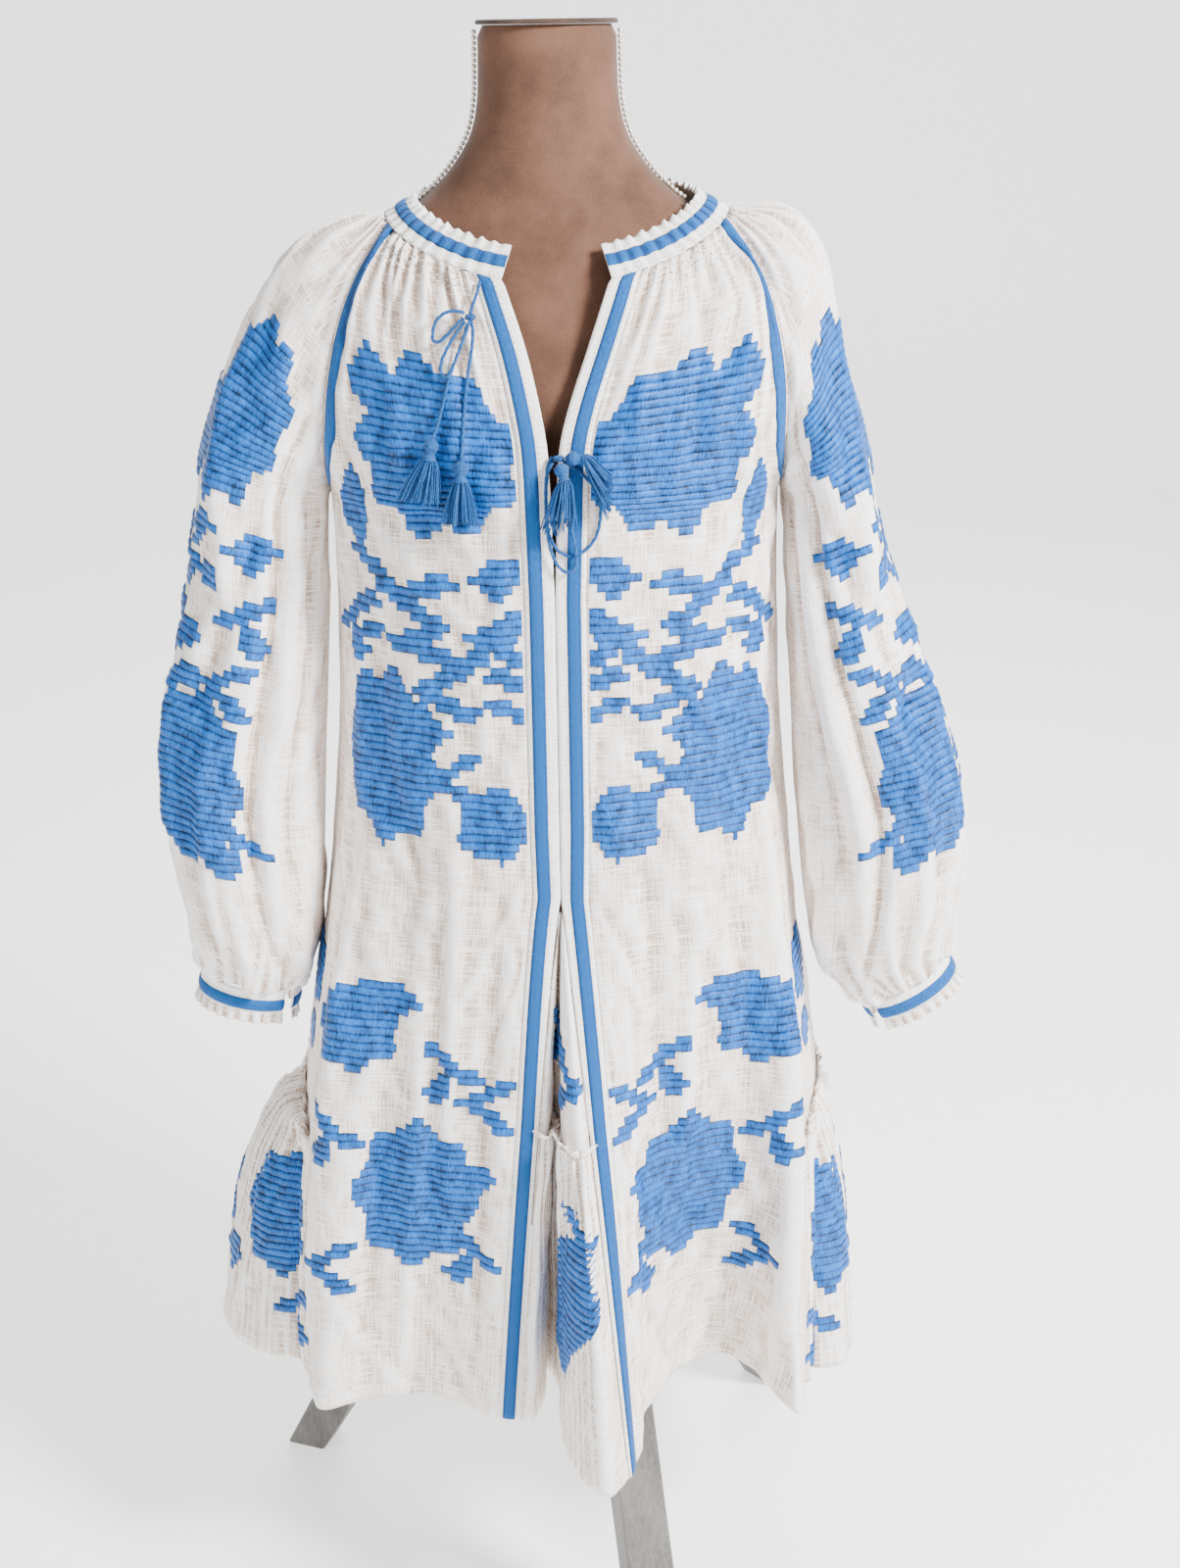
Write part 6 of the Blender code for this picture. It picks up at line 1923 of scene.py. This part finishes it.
@dataclass
class SidePanel:
    """One narrow side panel with the gathered tier under it and the tier's little frilled heading."""

    side: Side
    step: float = 0.0060
    columns: int = 22
    tier_columns: int = 210
    gathered_over: float = 0.030
    motifs: tuple = charted("blossom 40 430 30 34 5 0.18 0.5/ bud 20 478")
    tier_motifs: tuple = charted("""
        blossom 64 112 44 64 7 0.14 0.6/ twig 12 176/ blossom 184 116 44 62 7 0.14 0.6/ bud 114 160""")

    def tier_line(self, level: float) -> Line:
        """The line across the tier, which opens from the panel's width to its own.

        Args:
            level: its height.

        Returns:
            The line.
        """
        seam = BLOCK.side_line(self.side, level)
        ring = BLOCK.ring_line(BLOCK.of(self.side, "side"), level).points
        seam = seam.at(np.linspace(0.0, seam.length, len(ring)))
        return Line(seam + (ring - seam) * smoothly((BLOCK.tier_seam - level) / self.gathered_over))

    def build(self) -> None:
        """Makes the panel, the tier, the heading and the embroidery."""
        name, number, facing = self.side.value, self.side.number, -self.side.sign
        levels = level_rows(BLOCK.underarm, BLOCK.tier_seam, self.step)[1:]
        lines = [BLOCK.underarm_line(self.side)] + [BLOCK.side_line(self.side, level) for level in levels]
        panel = Cloth.seamed(lines, self.columns, facing)
        panel = panel.raised(rumple(panel, 0.0009, 0.04, 41) * panel.held(0.15, 0.15))
        cloth_piece(f"side_panel_{name}_cloth", panel)
        levels = level_rows(BLOCK.tier_seam, BLOCK.hem, self.step)
        lines = [BLOCK.side_line(self.side, levels[0])] + [self.tier_line(level) for level in levels[1:]]
        tier = Cloth.seamed(lines, self.tier_columns, facing)
        total = (Gather(38, 0.0056, 0.060, 51 + number, keep=0.10).heights(tier)
                 + Gather(11, 0.0060, 0.200, 54, keep=0.55).heights(tier) + rumple(tier, 0.0020, 0.045, 53))
        tier = tier.raised(total * tier.held(0.04, 0.04) + tier.hem_turn(0.017, 0.0005))
        cloth_piece(f"side_tier_{name}_cloth", tier)
        frill_heading(f"side_tier_{name}", tier, 61 + number)
        Embroidery(f"side_tier_{name}", self.tier_motifs).build(tier, 0.6, 300)
        Embroidery(f"side_panel_{name}", self.motifs).build(panel, 0.3, 400)


def frill_heading(name: str, tier: Cloth, seed: int, height: float = 0.0085) -> None:
    """The little frill that stands above a gathered tier's seam.

    Args:
        name: the name of the tier's CAD node.
        tier: the tier that it belongs to.
        seed: the seed of its waves.
        height: how high it stands.
    """
    columns = 360
    x = np.linspace(tier.first[0], tier.last[0], columns)
    base, out = tier.at(x, np.zeros(columns))
    wave = frill_wave(seed, columns, 9.0, 0.5, (0.4, 0.53, 1.0))
    rises = np.linspace(1.0, 0.0, 5)
    points = np.array([base + out * (0.0018 + 0.0040 * rise + wave * 0.0024 * rise)[:, None]
                       + UP * (height * rise - 0.001) for rise in rises])
    frill = Cloth(points, np.full(5, x[0]), np.full(5, x[-1]), height * (1 - rises), tier.facing)
    cloth_piece(name + "_heading", frill,
                thickness=0.0004)


@dataclass
class Godet:
    """The centre godet: a plain point under the placket, the gathered tier and its heading."""

    step: float = 0.0060
    columns: int = 45
    tier_columns: int = 180
    point_end: float = 0.660
    tip: float = 0.15
    motifs: tuple = charted("twig -30 85/ tendril 6 120")
    tier_motifs: tuple = charted("blossom 165 150 50 75 5 0.16 0.6/ tendril 130 50")

    def build(self) -> None:
        """Makes the point, the tier, the heading and the embroidery."""
        levels = level_rows(self.point_end, BLOCK.godet_seam, self.step)
        upper = Cloth.seamed([BLOCK.godet_line(level) for level in levels], self.columns, -1.0).centred
        apex = BLOCK.fold_point(BLOCK.left_front[0], BLOCK.godet_top) + BLOCK.placket_tuck(Side.LEFT, BLOCK.godet_top)
        shares = np.linspace(self.tip, 1.0, 14)[:-1]
        points = np.concatenate((apex + (upper.points[0] - apex) * shares[:, None, None], upper.points))
        first, last = (np.concatenate((edge[0] * shares, edge)) for edge in (upper.first, upper.last))
        upper = Cloth(points, first, last, distances(points), -1.0)
        upper = upper.raised(rumple(upper, 0.0006, 0.03, 71))
        cloth_piece("godet_upper_cloth", upper)
        Embroidery("godet_upper", self.motifs).build(upper, 0.1, 700)
        levels = [BLOCK.godet_seam, *level_rows(BLOCK.godet_seam - 0.004, BLOCK.hem, self.step)]
        tier = Cloth.seamed([BLOCK.godet_line(level) for level in levels], self.tier_columns, -1.0)
        tier = tier.counted_from(tier.first)
        total = Gather(40, 0.0056, 0.070, 72, keep=0.10).heights(tier) + rumple(tier, 0.0014, 0.05, 73)
        tier = tier.raised(total * tier.held(0.05, 0.05) + tier.hem_turn(0.017, 0.0005))
        cloth_piece("godet_tier_cloth", tier)
        frill_heading("godet_tier", tier, 74, 0.0075)
        Embroidery("godet_tier", self.tier_motifs).build(tier, 0.6, 800)


@dataclass
class Sleeve:
    """One full raglan sleeve, gathered at the collar and into its cuff."""

    side: Side
    columns: int = 160
    head_rows: int = 38
    rows: int = 84
    motifs: tuple = charted("""
        blossom -68 215 50 86 9 0.16 0.4/ blossom -10 250 26 44 4 0.15/ bud -130 316/ branch -88 306 flipped/
        leaf -30 330/ twig -128 366/ branch -70 392/ tendril 10 380/ tendril -118 430/
        blossom -66 535 52 78 8 0.14 1/ twig -12 500/ bud -4 560/ twig -140 560 flipped""")

    def build(self) -> None:
        """Makes the sleeve and its embroidery."""
        name, number = self.side.value, self.side.number
        around = np.linspace(-math.pi, math.pi, 49)
        lines = [BLOCK.sleeve_head_line(self.side, share) for share in np.linspace(0.0, 1.0, self.head_rows)]
        lines += [Line(BLOCK.sleeve_ring(self.side, row, around))
                  for row in np.linspace(0.0, BLOCK.sleeve_end, self.rows)]
        cloth = Cloth.seamed(lines, self.columns, -self.side.sign).centred
        total = (Gather(11, 0.0046, 0.085, 81 + number).heights(cloth)
                 + Gather(15, 0.0110, 0.095, 83 + number, from_below=True).heights(cloth)
                 + Gather(30, 0.0060, 0.036, 87 + number, from_below=True).heights(cloth)
                 + rumple(cloth, 0.0034, 0.060, 85 + number) + creased(cloth, SLEEVE_CREASES, 1.8))
        above = cloth.down[-1] - cloth.down[:, None]
        puff = 0.0026 * smoothly(above / 0.004) * np.exp(-(above / 0.016)**2)
        cloth = cloth.raised(total * cloth.held(0.05, 0.05) + puff)
        cloth_piece(f"sleeve_{name}_cloth", cloth)
        Embroidery(f"sleeve_{name}", self.motifs).build(cloth, 0.25, 1500 + 1000 * number)
        white = Sewing(f"sleeve_{name}_stitches")
        white.shirr(cloth, (0.014, 0.014))
        white.finish("thread")


@dataclass
class Cuff:
    """One cuff: the band, its ribbon and the frill at its lower edge."""

    side: Side
    columns: int = 150
    frill_columns: int = 360
    opening: tuple[float, float] = (math.radians(-138), math.radians(206))
    height: float = 0.0215
    ribbon: tuple[float, float] = (0.0085, 0.0195)
    frill: float = 0.0095

    def ring(self, angles: Array, down: float, flare: Array | float = 0.0) -> Array:
        """Points of the cuff.

        Args:
            angles: angles from the outer line, in radians.
            down: the distance down from the sleeve's end.
            flare: how far out of the ring each point stands.

        Returns:
            One point for each angle.
        """
        outer, inner = BLOCK.sleeve_ring(self.side, BLOCK.sleeve_end, np.array((0.0, math.pi)))
        axis = unit(np.cross(BACKWARD, outer - inner)) * self.side.sign
        return BLOCK.sleeve_ring(self.side, BLOCK.sleeve_end, angles, flare) + axis * (down + 2 * BLOCK.seam_gap)

    def build(self) -> None:
        """Makes the band, the ribbon, the frill and the stitches."""
        name, facing = self.side.value, -self.side.sign
        downs = np.linspace(0.0, self.height, 12)
        angles = np.linspace(*self.opening, self.columns)
        points = np.array([self.ring(angles, down) for down in downs])
        length = Line(points[0]).length
        band = Cloth.even(points, length, downs, facing)
        puff = np.sin(np.linspace(0.0, math.pi, 12))[:, None] * 0.0004
        band = band.raised(puff + rumple(band, 0.0002, 0.012, 91))
        cloth_piece(f"cuff_{name}_cloth", band, "doubled", 0.0012)
        lay_tape(f"cuff_ribbon_{name}_tape", band.tape_across(*self.ribbon))
        self.add_frill(name, facing)
        white = Sewing(f"cuff_{name}_topstitch")
        for y in (0.0012, 0.0074, 0.0206):
            white.running(band, band.across[0], y)
        white.finish("thread")

    def add_frill(self, name: str, facing: float) -> None:
        """The frill: uneven small waves that grow towards its edge.

        Args:
            name: the cuff's side.
            facing: which way its columns run.
        """
        angles = np.linspace(*self.opening, self.frill_columns)
        wave = frill_wave(92, self.frill_columns, 15.0, 0.4, (0.35, 0.47, 0.8))
        shares = np.linspace(0.0, 1.0, 8)
        points = np.array([self.ring(angles, self.height + 0.0003 + self.frill * share,
                                     0.0006 + 0.0012 * share + wave * 0.0016 * share) for share in shares])
        frill = Cloth.even(points, Line(points[0]).length, self.frill * shares, facing)
        cloth_piece(f"cuff_frill_{name}_cloth", frill,
                    thickness=0.0005)


@dataclass
class Collar:
    """The collar band with its frilled edge and the ribbon round it."""

    columns: int = 620
    rows: int = 15

    def build(self) -> None:
        """Makes the band, the ribbon and their stitches."""
        angles = np.linspace(-BLOCK.collar_open, BLOCK.collar_open - FULL_TURN, self.columns)
        rises = np.linspace(1.0, 0.012, self.rows)
        points = np.array([BLOCK.neck_ring(angles, rise) for rise in rises])
        length = Line(points[-1]).length
        cloth = Cloth.even(points, length, distances(points), 1.0)
        wave = frill_wave(95, self.columns, 11.5, 0.5, (0.4, 0.61, 0.4)) * cloth.held(1 / 40, 1 / 40)
        frilled = 0.0016 * np.exp(-((rises - 1.0) / 0.14)**2) + 0.0006 * np.exp(-(rises / 0.16)**2) + 0.0006
        cloth = cloth.raised(wave * frilled[:, None] + 0.0005)
        cloth_piece("collar_band_cloth", cloth, material="doubled", thickness=0.0010)
        height = cloth.down[-1]
        tape = cloth.tape_across(0.32 * height, 0.67 * height)
        lay_tape("collar_ribbon_tape", tape)
        white = Sewing("collar_topstitch")
        for share in (0.20, 0.29, 0.70, 0.92):
            white.running(cloth, cloth.across[0], share * height)
        white.finish("thread")


def plain(bounds: Iterable) -> list:
    """A box as plain lists of numbers."""
    return [[float(number) for number in corner] for corner in bounds]


def main() -> None:
    """Builds the dress round the frame."""
    Studio().build()
    Ties().build()
    DressForm().build()
    Stand().build()
    for side in Side:
        FrontPanel(side).build()
    Godet().build()
    for side in Side:
        SidePanel(side).build()
        Sleeve(side).build()
        Cuff(side).build()
    BackPanel().build()
    Collar().build()
    bpy.context.view_layer.update()
    {"cad": plain(CAD_BOUNDS), "visual": plain(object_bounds())}


if __name__ == "__main__":
    logging.basicConfig(level=logging.INFO, format="%(name)s: %(message)s")
    main()
